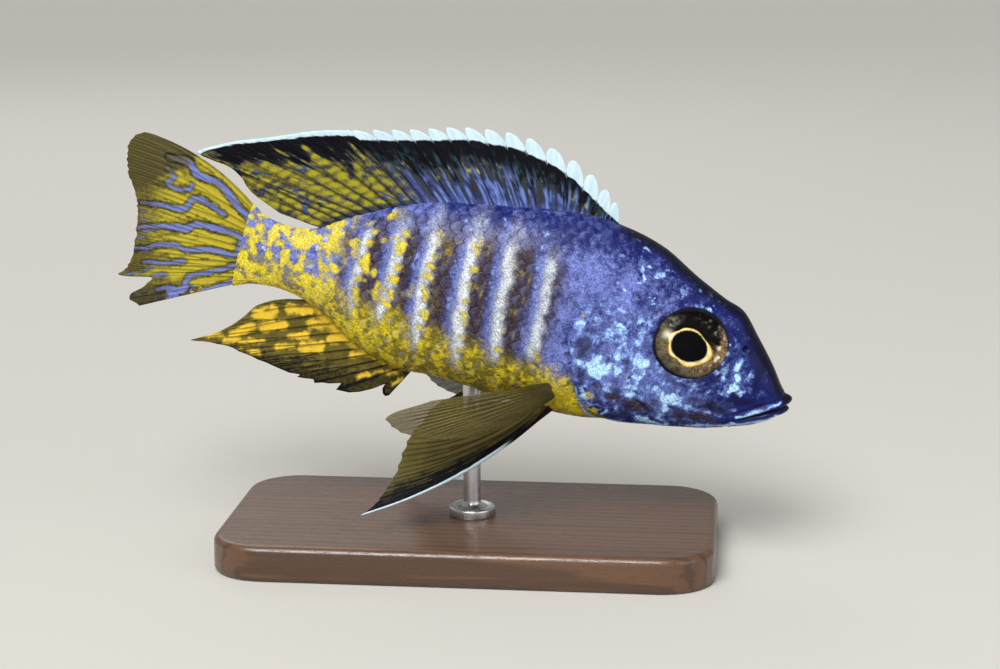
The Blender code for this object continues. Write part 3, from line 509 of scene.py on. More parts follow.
def bar_paints(at):
    """The pale bars with their yolk-yellow drops, the dusky gaps between them and the blue dots."""
    pale, dusk, gold, fringe, dots = (np.zeros(np.shape(at.up)) for _ in range(5))
    warped = at.behind + 0.32 * at.coarse + 0.2 * at.fine
    lower = ramp(-at.up, -2.0, 5.0)
    for number, (top, centre, low, yellow, bright) in enumerate(BARS):
        line = np.polyfit([top[1], centre[1], low[1]], [top[0], centre[0], low[0]], 2)
        off = warped - np.polyval(line, at.up)
        reach = ramp(at.up, low[1] - 4.0, low[1] + 2.0) * (1 - ramp(at.up, top[1] - 0.5, top[1] + 4.5))
        reach = reach * (1 - 0.52 * at.above)
        shape = bell(off, 1.25 + 0.75 * at.above) * (0.86 + 0.14 * at.fine + 0.16 * at.tall)
        pale = np.maximum(pale, bright * reach * shape)
        fringe = np.maximum(fringe, reach * bell(off - 1.35, 0.8))
        dots = np.maximum(dots, bell(off - 2.35, 0.7))
        drop = (at.up / 2.7 + 0.37 * number + 0.5 * at.coarse) % 1 - 0.5
        yolk = np.exp(-(((off + 0.7 + 0.35 * at.tall) / 0.9) ** 2) - (drop / 0.34) ** 2)
        spotted = np.minimum(1, 1.4 * yolk) * np.maximum(yellow, 0.85 * lower) * (0.88 + 0.25 * at.fine)
        gold = np.maximum(gold, spotted * ramp(at.up, -12.0, -9.0) * (1 - ramp(at.over_line, 0.5, 2.5)))
        dusk = np.maximum(dusk, bell(off + 2.3, 1.15))
    shaded = ramp(at.behind, 39.0, 44.0) * (1 - 0.75 * at.stalk) * at.body
    dusk = np.maximum(dusk * ramp(at.tall, -2.2, -0.7), 0.86 * (1 - 0.3 * dots)) * shaded
    dusk = dusk * (1 - 0.45 * at.above) * (1 - ramp(at.over_line, 2.5, 5.0)) * (1 - fringe * 0.65)
    flecked = ramp(at.tall + 0.5 * at.tiny, -0.1, 0.9)
    bluish = np.maximum(dots * ramp(at.fine + 0.6 * at.tiny, -0.2, 1.0), 0.2 * flecked)
    bluish = bluish * shaded * (1 - 0.85 * lower)
    olive_clouds = clouds(at.places * (1.3, 1.0, 0.5), 1.0, 12)
    olive_flecks = ramp(olive_clouds - 0.4 * dots, 0.1, 1.1) * shaded * (1 - at.above)
    gold = np.maximum(gold, 0.5 * olive_flecks * (1 - pale))
    return pale, dusk, gold, fringe, bluish


def flank_paints(at, pale, dusk, gold):
    """The yellow of the belly, tail stalk and rear flank, and the dashes of the lateral line."""
    underside = ramp(-at.up + 0.9 * at.coarse + 0.06 * (at.behind - 40), 1.0, 8.0) * at.body
    breast = blob(at.behind, at.up, (37.5, -9.0), (6.5, 4.6)) * at.body
    mealy = ramp(at.tiny + 0.7 * at.tall + 0.4 * at.fine, -1.4, 0.9)
    gold = np.maximum(gold, 0.9 * underside * mealy * (1 - 0.7 * pale))
    gold = np.maximum(gold, 0.7 * ramp(breast + 0.15 * at.fine, 0.2, 0.8))
    patchy = clouds(at.places * (1.0, 0.6, 1.1), 1.5, 5)
    gold = np.maximum(gold, 0.97 * at.stalk * ramp(patchy + 0.35 * at.fine + 0.25 * at.tiny, -1.0, 0.35))
    pale = np.maximum(pale, 0.7 * at.stalk * ramp(at.fine + 0.8 * at.tiny, 0.1, 1.2))
    rear = ramp(at.behind, 54.0, 72.0) * (1 - at.stalk) * (1 - 0.8 * pale)
    rear = rear * (1 - at.above * (1 - ramp(at.behind, 66.0, 74.0)))
    spotty = ramp(clouds(at.places * (1.0, 1.0, 0.8), 1.4, 9, 1), 0.0, 1.0)
    gold = np.maximum(gold, 0.9 * rear * spotty)
    line_off, _ = from_path(LATERAL_LINE, at.behind, at.up, 4)
    broken = clouds(at.places, 1.5, 11)
    dashes = bell(line_off, 0.42) * ramp(broken, 0.0, 0.7) * at.body
    gold = np.maximum(gold, 0.7 * dashes * ramp(at.behind, 46.0, 52.0))
    gaps = bell(line_off, 0.5) * ramp(broken, -0.8, -0.1) * at.body
    dusk = np.maximum(dusk, 0.6 * gaps * ramp(at.behind, 44.0, 50.0))
    for *spot, long, high in YELLOW_FLECKS:
        near = blob(at.behind, at.up, spot, (long, high))
        gold = np.maximum(gold, 0.75 * ramp(near + 0.3 * at.fine + 0.15 * at.tiny, 0.15, 0.85))
    olive = ramp(underside - 0.2 * at.coarse, 0.2, 1.0) * (1 - 0.85 * pale)
    return pale, dusk, gold, olive


def face_marks(at):
    """The marks of the face that have their own place: bright ones, dark ones and brown ones."""
    bright, night, brown = (np.zeros(np.shape(at.up)) for _ in range(3))
    wavy_behind = at.behind + 0.45 * at.fine + 0.35 * at.tiny
    wavy_up = at.up + 0.45 * clouds(at.places, 1.2, 24) - 0.3 * at.net
    for spot_behind, spot_up, long, high, slant, strength in PATCHES:
        ahead, rise = wavy_behind - spot_behind, wavy_up - spot_up
        along = (ahead - slant * rise) / (PATCH_SPREAD * long)
        across = (rise + slant * ahead) / (PATCH_SPREAD * high)
        near = np.minimum(1, 1.3 * np.exp(-(along**2) - across**2))
        bright = np.maximum(bright, strength * near * (0.86 + 0.34 * at.net + 0.2 * at.tiny))
    for *spot, long, high, strength, warm in SHADES:
        near = blob(wavy_behind, wavy_up, spot, (SHADE_SPREAD * long, SHADE_SPREAD * high))
        near = strength * np.minimum(1, 1.3 * near)
        night = np.maximum(night, near * (1 - 0.7 * warm))
        brown = np.maximum(brown, near * warm)
    for path, width, strength in STROKES:
        warp = 0.25 if width < 0.5 else 0.6
        wavy_path = at.behind + warp * (wavy_behind - at.behind), at.up + warp * (wavy_up - at.up)
        off, along = from_path(path, *wavy_path, 4)
        ends = ramp(along, 0.0, 0.04) * (1 - ramp(along, 0.9, 1.0))
        stroke = bell(off, 1.3 * width * (0.5 + 0.5 * ramp(along, 0.0, 0.45)))
        bright = np.maximum(bright, strength * ends * stroke * ramp(at.fine + 0.5 * at.tiny, -2.4, -0.6))
    gill_off, gill_along = from_path(GILL_EDGE, at.behind, at.up)
    rim = bell(gill_off - 0.05, 0.5) * ramp(gill_along, 0.25, 0.4) * (1 - ramp(gill_along, 0.92, 1.0))
    return np.maximum(bright, 0.85 * rim), night, brown


def face_paints(at, gold):
    """Sky-blue flecks, brown and black of the head, painted shade along its top profile, and the pale fold of
    skin over the breast's gold.
    """
    bright, night, brown = face_marks(at)
    mottle = clouds(at.places, 2.0, 21, 2)
    face = np.maximum(at.cheek, 0.7 * (1 - at.snout) * (1 - ramp(at.up, 8.0, 12.0)))
    loose = ramp(0.4 * mottle + 0.5 * at.fine + 0.9 * at.net + 0.5 * at.tiny, -1.0, 1.1) * face
    hollow = clouds(at.places * (0.8, 1.0, 1.0), 1.3, 25)
    hollow = ramp(hollow + 0.5 * at.tiny - 0.4 * mottle, 0.1, 0.9)
    night = np.maximum(night, 0.9 * hollow * face * (1 - bright))
    specks = 0.8 * ramp(at.net + 0.4 * at.tiny, 0.35, 1.2)
    specks = specks * ramp(at.up, 5.0, 9.0) * (1 - ramp(at.behind, 38.0, 48.0))
    sky = np.maximum(np.maximum(bright, loose), specks) * (1 - night) * (1 - 0.8 * brown)
    sky = np.clip(sky * np.maximum(at.head, 0.6 * blob(at.behind, at.up, (39.0, 7.0), (2.5, 3.0))), 0, 1)
    fold_off, fold_along = from_path(MEMBRANE, at.behind, at.up, 4)
    fold = bell(fold_off, 0.34) * ramp(fold_along, 0.0, 0.1) * (1 - ramp(fold_along, 0.85, 1.0))
    plum = at.head * ramp(clouds(at.places, 2.4, 31) + 0.4 * at.fine, 0.1, 1.0)
    plum = plum * ramp(at.behind, 15.0, 24.0) * (1 - ramp(at.up, 3.0, 8.0))
    brown = np.maximum(brown, 0.4 * plum * (1 - bright))
    # Painted shade: a black band along the head's top profile, wider down the snout, laid with the ink.
    profile_shade_depth = 2.1 + 2.6 * (1 - ramp(at.behind, 6.0, 15.0)) * ramp(at.behind, 1.5, 3.5)
    crown = 1 - ramp(at.from_top + 0.3 * at.coarse, 0.4, profile_shade_depth)
    crown = crown * (1 - ramp(at.behind, 33.0, 37.0))
    ink = np.maximum(crown, 0.72 * ramp(night, 0.1, 1.0) * at.head)
    return np.maximum(sky, 0.72 * fold), gold * (1 - 0.8 * fold), brown, ink


def wash_share(at, fringe):
    """How light the blue ground is, from the black-blue of the back to the lilac of the shoulder, with a
    painted highlight over the temple and painted shade along the head's top profile.
    """
    wash = 0.1 + 0.62 * at.cheek
    for centre, size, strength in LIGHTER_GROUND_AND_HIGHLIGHT:
        wash = wash + strength * blob(at.behind, at.up, centre, size)
    on_back = blob(at.behind, at.up, (46.0, 18.0), (60.0, 2.5))
    wash = wash + ramp(at.behind, 33.0, 42.0) * (0.4 - 0.25 * on_back)
    wash = wash + 0.3 * fringe * at.body + 0.4 * at.stalk
    wash = wash + 0.16 * at.fine + 0.13 * at.coarse + 0.14 * at.tiny
    # Painted shade: the ground darkens towards the top profile of the head and nape.
    wash = wash * (1 - 0.32 * (1 - ramp(at.from_top, 0.5, 4.5)) * (1 - ramp(at.behind, 36.0, 46.0)))
    wash = wash - 0.1 * ramp(at.behind, 38.0, 44.0)
    return wash - 0.24 * at.snout * (1 - blob(at.behind, at.up, (9.5, 1.6), (2.2, 3.4)))


def markings(places):
    """The share of each paint at places of the straight fish."""
    at = ground_of(places)
    pale, dusk, gold, fringe, bluish = bar_paints(at)
    pale, dusk, gold, olive = flank_paints(at, pale, dusk, gold)
    sky, gold, brown, ink = face_paints(at, gold)
    shares = {
        "pale": pale * at.body, "gold": gold, "dusk": np.maximum(dusk, brown),
        "sky": np.maximum(sky, 0.55 * bluish), "ink": ink, "wash": wash_share(at, fringe), "olive": olive,
    }
    return {name: np.clip(share, 0, 1) for name, share in shares.items()}


def node(kind, inputs, **settings):
    """A shader node in the tree of those that feed it, with its settings, constants and links."""
    tree = next(value.id_data for value in inputs.values() if isinstance(value, bpy.types.NodeSocket))
    made = tree.nodes.new(kind)
    for key, value in settings.items():
        setattr(made, key, value)
    for key, value in inputs.items():
        if isinstance(value, bpy.types.NodeSocket):
            tree.links.new(value, made.inputs[key])
        else:
            made.inputs[key].default_value = value
    return made


def maths(operation, *values):
    return node("ShaderNodeMath", dict(enumerate(values)), operation=operation).outputs[0]


def times(first, second):
    return maths("MULTIPLY", first, second)


def scaled(vector, factors):
    return node("ShaderNodeVectorMath", {0: vector, 1: factors}, operation="MULTIPLY").outputs[0]


def layer(share, under, over):
    """One colour laid over another."""
    colours = {6: under, 7: over}
    for key, value in colours.items():
        if isinstance(value, tuple):
            colours[key] = (*value, 1.0)
    return node("ShaderNodeMix", {0: share, **colours}, data_type="RGBA").outputs[2]


def spread(value, low, high, to_low=0.0, to_high=1.0):
    """A value from low..high stretched to to_low..to_high, with soft ends."""
    inputs = {0: value, 1: low, 2: high, 3: to_low, 4: to_high}
    return node("ShaderNodeMapRange", inputs, interpolation_type="SMOOTHSTEP").outputs[0]


def read(tree, name, output="Fac"):
    made = tree.nodes.new("ShaderNodeAttribute")
    made.attribute_name = name
    return made.outputs[output]


def grain(place, per_mm, detail=2.0, rough=0.55):
    inputs = {"Vector": place, "Scale": per_mm, "Detail": detail, "Roughness": rough}
    return node("ShaderNodeTexNoise", inputs).outputs[0]


def wire(shader, colour, height, relief_mm, roughness=None):
    """Joins colour, relief and, where it varies, roughness to a material's shader."""
    links = shader.id_data.links
    links.new(colour, shader.inputs["Base Color"])
    inputs = {"Height": height, "Distance": relief_mm * MM, "Strength": 1.0}
    links.new(node("ShaderNodeBump", inputs).outputs["Normal"], shader.inputs["Normal"])
    if roughness:
        links.new(roughness, shader.inputs["Roughness"])


def start_paint(name):
    """A new material, with its tree and its Principled shader."""
    paint = bpy.data.materials.new(name)
    paint.use_nodes = True
    return paint, paint.node_tree, paint.node_tree.nodes["Principled BSDF"]


def start_group(name, sockets_in, sockets_out):
    """An empty node group with named inputs and outputs."""
    tree = bpy.data.node_groups.new(name, "ShaderNodeTree")
    kinds = {"value": "NodeSocketFloat", "colour": "NodeSocketColor", "vector": "NodeSocketVector"}
    for in_out, sockets in (("INPUT", sockets_in), ("OUTPUT", sockets_out)):
        for socket, kind in sockets.items():
            tree.interface.new_socket(socket, in_out=in_out, socket_type=kinds[kind])
    return tree, tree.nodes.new("NodeGroupInput").outputs, tree.nodes.new("NodeGroupOutput").inputs


# Stipple breaks the edge of a marking into fine dots, as pigment cells do.
stipple, given, made_out = start_group(
    "stipple", {"Mask": "value", "Place": "vector", "Per mm": "value", "Break": "value"}, {"Mask": "value"}
)
dots = grain(given["Place"], given["Per mm"], 2.0, 0.7)
shaken = maths("MULTIPLY_ADD", maths("SUBTRACT", dots, 0.5), given["Break"], given["Mask"])
stipple.links.new(spread(shaken, 0.12, 0.88), made_out["Mask"])


def stippled(mask, place, per_mm, amount):
    parts = {"Mask": mask, "Place": place, "Per mm": per_mm, "Break": amount}
    return node("ShaderNodeGroup", parts, node_tree=stipple).outputs["Mask"]


# Paint lays the fish's colours over one another in the order of the real pigments.
PAINTS = ("pale", "gold", "dusk", "sky", "ink", "wash", "olive")
PAINT_DOTS = {  # dots for each millimetre, and how far they break the edge
    "pale": (3.4, 0.65), "gold": (3.4, 0.8), "dusk": (3.0, 1.0), "sky": (3.0, 0.9), "wash": (2.6, 0.7),
}
GROUND_BLUES = ((0.003, 0.007, 0.085), (0.145, 0.185, 0.49))
SHADOW_BLUE = (0.010, 0.015, 0.12)
FLECK_BLUE = (0.30, 0.35, 0.64)
DUSKY_BROWNS = ((0.012, 0.006, 0.008), (0.055, 0.034, 0.032))
OLIVES = ((0.05, 0.04, 0.004), (0.36, 0.29, 0.012))
BAR_WHITES = ((0.27, 0.31, 0.50), (0.70, 0.74, 0.66))
YELLOWS = ((0.17, 0.13, 0.006), (0.62, 0.50, 0.016))
SKY_BLUES = ((0.09, 0.15, 0.50), (0.22, 0.36, 0.72))
BRIGHTEST_BLUE = (0.42, 0.68, 0.90)
BLACK = (0.002, 0.002, 0.008)

tree, given, made_out = start_group(
    "fish_paint", {"Place": "vector", **{name: "value" for name in PAINTS}}, {"Colour": "colour"}
)
place = given["Place"]
shares = {name: stippled(given[name], place, *amounts) for name, amounts in PAINT_DOTS.items()}
fleck = grain(place, 4.5, 2.0, 0.7)
dark_fleck = spread(grain(place, 2.7, 3.0, 0.75), 0.36, 0.66)
base = layer(shares["wash"], *GROUND_BLUES)
base = layer(times(dark_fleck, 0.3), base, SHADOW_BLUE)
bright_fleck = times(spread(fleck, 0.5, 0.75, 0.0, 0.6), given["wash"])
base = layer(bright_fleck, base, FLECK_BLUE)
dusk_colour = layer(dark_fleck, *DUSKY_BROWNS)
# The dusk share also lays the painted shade inside the mouth.
base = layer(times(shares["dusk"], 0.95), base, dusk_colour)
olive_colour = layer(fleck, *OLIVES)
base = layer(times(given["olive"], 0.8), base, olive_colour)
chalky = times(given["pale"], spread(fleck, 0.25, 0.6))
base = layer(times(shares["pale"], 0.92), base, layer(chalky, *BAR_WHITES))
gold_colour = layer(maths("POWER", given["gold"], 1.5), *YELLOWS)
base = layer(times(shares["gold"], 0.93), base, gold_colour)
luminous = times(given["sky"], spread(fleck, 0.3, 0.6, 0.7, 1.2))
sky_colour = layer(spread(luminous, 0.2, 0.6), *SKY_BLUES)
sky_colour = layer(spread(luminous, 0.42, 0.88), sky_colour, BRIGHTEST_BLUE)
base = layer(times(shares["sky"], 0.95), base, sky_colour)
speckle = spread(grain(place, 3.2, 4.0, 0.85), 0.38, 0.62, 0.58, 1.45)
# The ink share also lays the band of painted shade along the head's top profile.
base = layer(times(given["ink"], 0.97), scaled(base, speckle), BLACK)
tree.links.new(base, made_out["Colour"])
fish_paint = tree


def fish_material(name, roughness, coat):
    """Painted hide: the colours from the markings, still without relief."""
    paint, tree, shader = start_paint(name)
    place = read(tree, "fish", "Vector")
    inputs = {"Place": place, **{part: read(tree, part) for part in PAINTS}}
    colour = node("ShaderNodeGroup", inputs, node_tree=fish_paint).outputs["Colour"]
    shader.inputs["Roughness"].default_value = roughness
    shader.inputs["Specular IOR Level"].default_value = 0.1
    shader.inputs["Coat Weight"].default_value = coat
    shader.inputs["Coat Roughness"].default_value = 0.12
    shader.inputs["Coat IOR"].default_value = 1.33
    return paint, tree, shader, place, colour


hide, tree, shader, place, colour = fish_material("fish_hide", 0.4, 0.2)
pebble = grain(place, 3.2, 3.0, 0.6)
crease = node("ShaderNodeTexVoronoi", {"Vector": place, "Scale": 1.7}, feature="DISTANCE_TO_EDGE")
skin_height = maths("MULTIPLY_ADD", spread(crease.outputs[0], 0.0, 0.18), 0.12, pebble)
wire(shader, colour, skin_height, 0.09, spread(pebble, 0.3, 0.7, 0.44, 0.3))

AROUND = 280
MOUTH_STEPS = (1.0, 0.85, 0.64, 0.42, 0.2)  # how far closed each ring of the mouth's pocket is
POCKET_DEPTH = 3.2


def mouth_pocket(lip_edge):
    """Rings that narrow from the lips' inner edge to the flat pocket inside the mouth."""
    facing_lip = np.roll(lip_edge[::-1], 1, axis=0)
    rings = []
    for close in MOUTH_STEPS:
        ring = lip_edge + 0.46 * close * (facing_lip - lip_edge) * np.array([0, 0, 1])
        ring[:, 0] -= POCKET_DEPTH * close * (1 - np.abs(lip_edge[:, 0]) / 12)
        ring[:, 1] *= 1 - 0.6 * close
        rings.append(ring)
    return rings


skin_points = skin_shape(AROUND)
skin_grid = np.concatenate([mouth_pocket(skin_points[0]), skin_points])
rows = len(skin_grid)
lower = np.arange(1, AROUND // 2 - 1)
seam = np.column_stack([lower, lower + 1, AROUND - lower - 1, AROUND - lower])
tail_cap = (np.arange(AROUND) + (rows - 1) * AROUND)[None, :]
skin_faces = [quads(rows, AROUND, wrap=True), seam, tail_cap]
flat_skin = skin_grid.reshape(-1, 3)
skin_values = {**markings(flat_skin), "fish": flat_skin}
shaded_mouth_pocket = np.arange(len(flat_skin)) < (len(MOUTH_STEPS) + 1) * AROUND
# Painted shade: the pocket inside the mouth is painted dusky brown, without blue.
skin_values["dusk"] = np.maximum(skin_values["dusk"], shaded_mouth_pocket)
skin_values["sky"] = skin_values["sky"] * ~shaded_mouth_pocket
girth = np.arange(AROUND) / AROUND
skin_map = np.stack(np.broadcast_arrays(np.linspace(0.02, 0.98, rows)[:, None], 0.02 + 0.96 * girth), -1)
skin = make_mesh("skin", in_place(flat_skin), skin_faces, skin_values, skin_map.reshape(-1, 2))
skin.data.materials.append(hide)
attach(skin, "root")
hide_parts("head", "lower_jaw", "gill_cover_left", "gill_cover_right", "torso", "tail_stalk")


# The scales: thin bony plates set in the hide like roof tiles, free edge to the tail. They are large
# on the flank and small on the nape, cheek, gill cover, breast and tail root. Each is a closed plate
# that lies on the skin's own surface; they are joined in four long bands.

# Distance behind the snout, and how far one scale lies behind the next there
PITCH_AT = [
    (17.0, 1.05), (24.0, 1.2), (32.0, 1.45), (40.0, 1.85), (48.0, 2.02), (64.0, 1.98), (80.0, 1.72),
    (97.0, 1.3),
]
FLANK_PITCH = 1.9
ROW_TO_PITCH = 0.94
PLATE_ROWS, PLATE_COLUMNS = ((12, 11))
PLATE_START, PLATE_END = -0.34, 1.3
PLATE_HALF = 0.74
PLATE_LOW, PLATE_HIGH = 0.03, 0.14
PLATE_THICKNESS = 0.06
PLATE_SHOWN = 1.15  # how far behind its root a scale shows, in scales
FIELD_START, FIELD_END = 17.0, 96.4
ROWS_KEPT = 24  # rows above and below the middle of the flank
ROW_LIMIT = 26
ROW_PARTS = 10
BACK_FIN = (35.5, 85.0)  # where the dorsal fin's sheath lies
ANAL_FIN = (62.0, 85.0)
SHEATH_ROWS = 0.55
COVER_PATCH = 0.003  # length on the map of one scale's own patch


def pitch_at(behind):
    return np.interp(behind, *np.array(PITCH_AT).T)


behind_knots = np.linspace(FIELD_START - 4, SKIN_END, 400)
pitch_knots = pitch_at(behind_knots)
column_steps = np.diff(behind_knots) / (0.5 * (pitch_knots[1:] + pitch_knots[:-1]))
column_knots = np.concatenate([[0], np.cumsum(column_steps)])
turn_knots = np.linspace(-math.pi / 2, math.pi / 2, 241)
section = trunk_point(behind_knots[:, None], turn_knots[None, :])
girth_steps = np.linalg.norm(np.diff(section, axis=1), axis=-1)
girth_knots = np.concatenate([np.zeros((len(section), 1)), np.cumsum(girth_steps, axis=1)], axis=1)
girth_knots -= girth_knots[:, len(turn_knots) // 2, None]
row_knots = girth_knots / (pitch_knots * ROW_TO_PITCH)[:, None]
row_grid = np.linspace(-ROW_LIMIT, ROW_LIMIT, 2 * ROW_LIMIT * ROW_PARTS + 1)
turn_table = np.array([np.interp(row_grid, rows_here, turn_knots) for rows_here in row_knots])


def on_field(column, row):
    """Distance behind the snout and turn for a place counted in columns and rows of scales."""
    behind = np.interp(column, column_knots, behind_knots)
    high = np.interp(behind, behind_knots, np.arange(len(behind_knots)))
    wide = np.clip((row + ROW_LIMIT) * ROW_PARTS, 0, len(row_grid) - 1.001)
    low_index = np.minimum(high.astype(int), len(behind_knots) - 2)
    left_index = wide.astype(int)
    up_share, wide_share = high - low_index, wide - left_index
    turn = 0.0
    for step_up, share_up in ((0, 1 - up_share), (1, up_share)):
        for step_wide, share_wide in ((0, 1 - wide_share), (1, wide_share)):
            turn = turn + turn_table[low_index + step_up, left_index + step_wide] * share_up * share_wide
    return behind, turn


def side_view(column, row):
    behind, turn = on_field(column, row)
    return behind, trunk_point(behind, turn)[:, 2]


def clear_of_edges(root, tip):
    """Which scales cross neither the gill cover's edge nor the cheek's, seen from the side."""
    keep = np.ones(len(root[0]), bool)
    for path, clear_before, clear_after in ((GILL_EDGE, 0.1, 0.1), (CHEEK_EDGE, 0.35, 0.5)):
        root_off, root_along = from_path(path, *root)
        tip_off, _ = from_path(path, *tip)
        beside = (np.abs(root_off) < 8) & (root_along > 0.02) & (root_along < 0.98)
        keep &= ~(beside & (root_off < clear_after) & (tip_off > -clear_before))
    flange, along = from_path(CHEEK_EDGE, *root)
    return keep & ~((np.abs(flange + 1.4) < 1.2) & (along > 0.1) & (along < 0.95))


def scale_roots():
    """Column and row of every scale on one side, row by row, each second row half a scale on."""
    first_column, last_column = np.interp([FIELD_START, FIELD_END], behind_knots, column_knots)
    found = []
    for row in range(-ROWS_KEPT, ROWS_KEPT + 1):
        column = np.arange(math.ceil(first_column), last_column) + 0.5 * (row % 2)
        found.append(np.column_stack([column, np.full(len(column), row + 0.5)]))
    column, row = np.concatenate(found).T
    behind, up = side_view(column, row)
    tip = side_view(column + PLATE_SHOWN, row)
    lowest = np.interp(behind, behind_knots, row_knots[:, 0])
    highest = np.interp(behind, behind_knots, row_knots[:, -1])
    beside_back_fin = (behind > BACK_FIN[0]) & (behind < BACK_FIN[1])
    beside_anal_fin = (behind > ANAL_FIN[0]) & (behind < ANAL_FIN[1])
    keep = (row > lowest + 0.1) & (row < highest - 0.1)
    keep &= ~(beside_back_fin & (row > highest - SHEATH_ROWS))
    keep &= ~(beside_anal_fin & (row < lowest + SHEATH_ROWS))
    keep &= clear_of_edges((behind, up), tip)
    keep &= (eye_ring(behind, up) > 1.36) & (eye_ring(*tip) > 1.12)
    bare_throat = (behind < 27.5) & (up < -7.0)
    bare_jaw = (behind < 24.5) & (up < -4.2)
    bare_face = (behind <= 21.0) & (up <= 12.0)
    keep &= ~(bare_throat | bare_jaw | bare_face)
    return np.column_stack([column, row])[keep]


def plate_outline():
    """A scale's own grid: along from root to free edge, across from side to side, and their place."""
    along = np.linspace(0, 1, PLATE_ROWS)[:, None] ** 0.9
    across = np.linspace(-1, 1, PLATE_COLUMNS)[None, :]
    free = PLATE_END - 0.46 * np.abs(across) ** 2.3
    root = PLATE_START + 0.12 * across**2
    forward = root + (free - root) * along
    half = PLATE_HALF * (0.84 + 0.16 * np.sin(np.pi * np.clip(along * 1.1, 0, 1)) - 0.16 * along**4)
    return along + 0 * across, across + 0 * along, forward, across * half


def plate_faces():
    """The rim of a scale's grid, and the faces of its top, wall and underside."""
    rim = [(r, 0) for r in range(PLATE_ROWS)] + [(PLATE_ROWS - 1, c) for c in range(1, PLATE_COLUMNS)]
    rim += [(r, PLATE_COLUMNS - 1) for r in range(PLATE_ROWS - 2, -1, -1)]
    rim += [(0, c) for c in range(PLATE_COLUMNS - 2, 0, -1)]
    rim = np.array([r * PLATE_COLUMNS + c for r, c in rim])
    lower = PLATE_ROWS * PLATE_COLUMNS + np.arange(len(rim))
    wall = np.stack([rim, np.roll(rim, -1), np.roll(lower, -1), lower], -1)
    return rim, (quads(PLATE_ROWS, PLATE_COLUMNS), wall, lower[None, :])


def scale_band(name, top, floor, centre_behind, centre_turn, tone, own, mirrored):
    """One joined mesh of scales from their upper and lower points, one row of each array a scale."""
    rim, plate = plate_faces()
    amount = len(top)
    top = top.reshape(amount, -1, 3)
    points = np.concatenate([top, floor.reshape(amount, -1, 3)[:, rim]], axis=1)
    each = points.shape[1]
    centre = trunk_point(centre_behind, centre_turn)
    shares = markings(0.94 * points + 0.06 * centre[:, None, :])
    values = {key: part.ravel() for key, part in shares.items()}
    along, across = (np.concatenate([part.ravel(), part.ravel()[rim]]) for part in own)
    large = np.clip(pitch_at(centre_behind) / 0.7 - 1.7, 0, 1)
    values["along"], values["across"] = np.tile(along, amount), np.tile(across, amount)
    values["tone"], values["large"] = np.repeat(tone * large, each), np.repeat(large, each)
    values["fish"] = points.reshape(-1, 3)
    root_map = np.column_stack([0.02 + 0.96 * centre_behind / SKIN_END, 0.27 + centre_turn / math.tau * 0.94])
    patch = COVER_PATCH * np.column_stack([along, 0.5 * across])
    uv = (root_map[:, None, :] + patch[None, :, :]).reshape(-1, 2)
    start = (np.arange(amount) * each)[:, None, None]
    flip = slice(None, None, -1) if mirrored else slice(None)
    faces = [(part[None] + start)[..., flip].reshape(-1, part.shape[-1]) for part in plate]
    return make_mesh(name, in_place(points.reshape(-1, 3)), faces, values, uv)


def make_scales():
    """Both sides' scales, an upper and a lower band on each."""
    random = np.random.default_rng(11)
    roots = scale_roots()
    along, across, forward, sideways = plate_outline()
    jitter = random.normal(0, 0.025, (len(roots), 2))
    size = 1 + random.normal(0, 0.03, len(roots))[:, None, None]
    tone = random.random(len(roots))
    column = roots[:, 0, None, None] + jitter[:, 0, None, None] + forward * size
    row = roots[:, 1, None, None] + jitter[:, 1, None, None] + sideways * size
    behind, turn = on_field(column, row)
    pitch = pitch_at(behind)
    lean = PLATE_LOW + (PLATE_HIGH - PLATE_LOW) * along * (1 + 0.12 * (tone - 0.5))[:, None, None]
    crown = lean * np.clip((pitch / FLANK_PITCH) ** 4, 0.12, 1.0) - 0.018 * across**2 * pitch / 2
    root_behind, root_turn = on_field(roots[:, 0] + 0.6, roots[:, 1])
    upper = roots[:, 1] > np.median(roots[:, 1])
    bands = []
    for mirrored, side in ((False, "left"), (True, "right")):
        side_turn, side_root = (math.pi - turn, math.pi - root_turn) if mirrored else (turn, root_turn)
        top = body_point(behind, side_turn, crown)
        floor = body_point(behind, side_turn, crown - PLATE_THICKNESS)
        for word, chosen in (("upper", upper), ("lower", ~upper)):
            bands.append(scale_band(
                f"scales_{side}_{word}", top[chosen], floor[chosen], root_behind[chosen], side_root[chosen],
                tone[chosen], (along, across), mirrored,
            ))
    return bands


SCALE_EDGE = (0.012, 0.010, 0.04)
SCALE_GLEAM = (0.30, 0.34, 0.66)
GROWTH_RADII = 34.0  # how closely the fan of fine grooves on each scale is set

scale_hide, tree, shader, place, colour = fish_material("fish_scales", 0.42, 0.2)
along, across = read(tree, "along"), read(tree, "across")
tone = read(tree, "tone")
edge = spread(along, 0.82, 0.97)
edge_paint = times(edge, times(read(tree, "large"), 0.14))
dark_edge = layer(edge_paint, colour, SCALE_EDGE)
# Painted highlight: a pale crescent short of each scale's free edge, stronger towards one side and on some
# scales than others.
highlight_crescent = times(spread(along, 0.5, 0.78), maths("SUBTRACT", 1.0, edge))
highlight_crescent = times(highlight_crescent, spread(across, -0.9, 0.2, 0.3, 1.0))
gleam = times(highlight_crescent, spread(tone, 0.0, 1.0, 0.0, 0.15))
lit = layer(gleam, dark_edge, SCALE_GLEAM)
fan = maths("ARCTAN2", across, maths("ADD", along, 0.35))
radii = maths("SINE", times(fan, GROWTH_RADII))
grit = grain(place, 5.5, 2.0, 0.6)
scale_height = maths("MULTIPLY_ADD", radii, 0.16, times(grit, 1.2))
wire(shader, lit, scale_height, 0.035, spread(grit, 0.3, 0.7, 0.42, 0.27))

for scales in make_scales():
    scales.data.materials.append(scale_hide)
    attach(scales, "root")


# The eyes. On the real fish each is a clear dome without lids over a brown and gold iris, with a
# black pupil that is a little pointed forward. The model's are painted glass, set in their sockets.

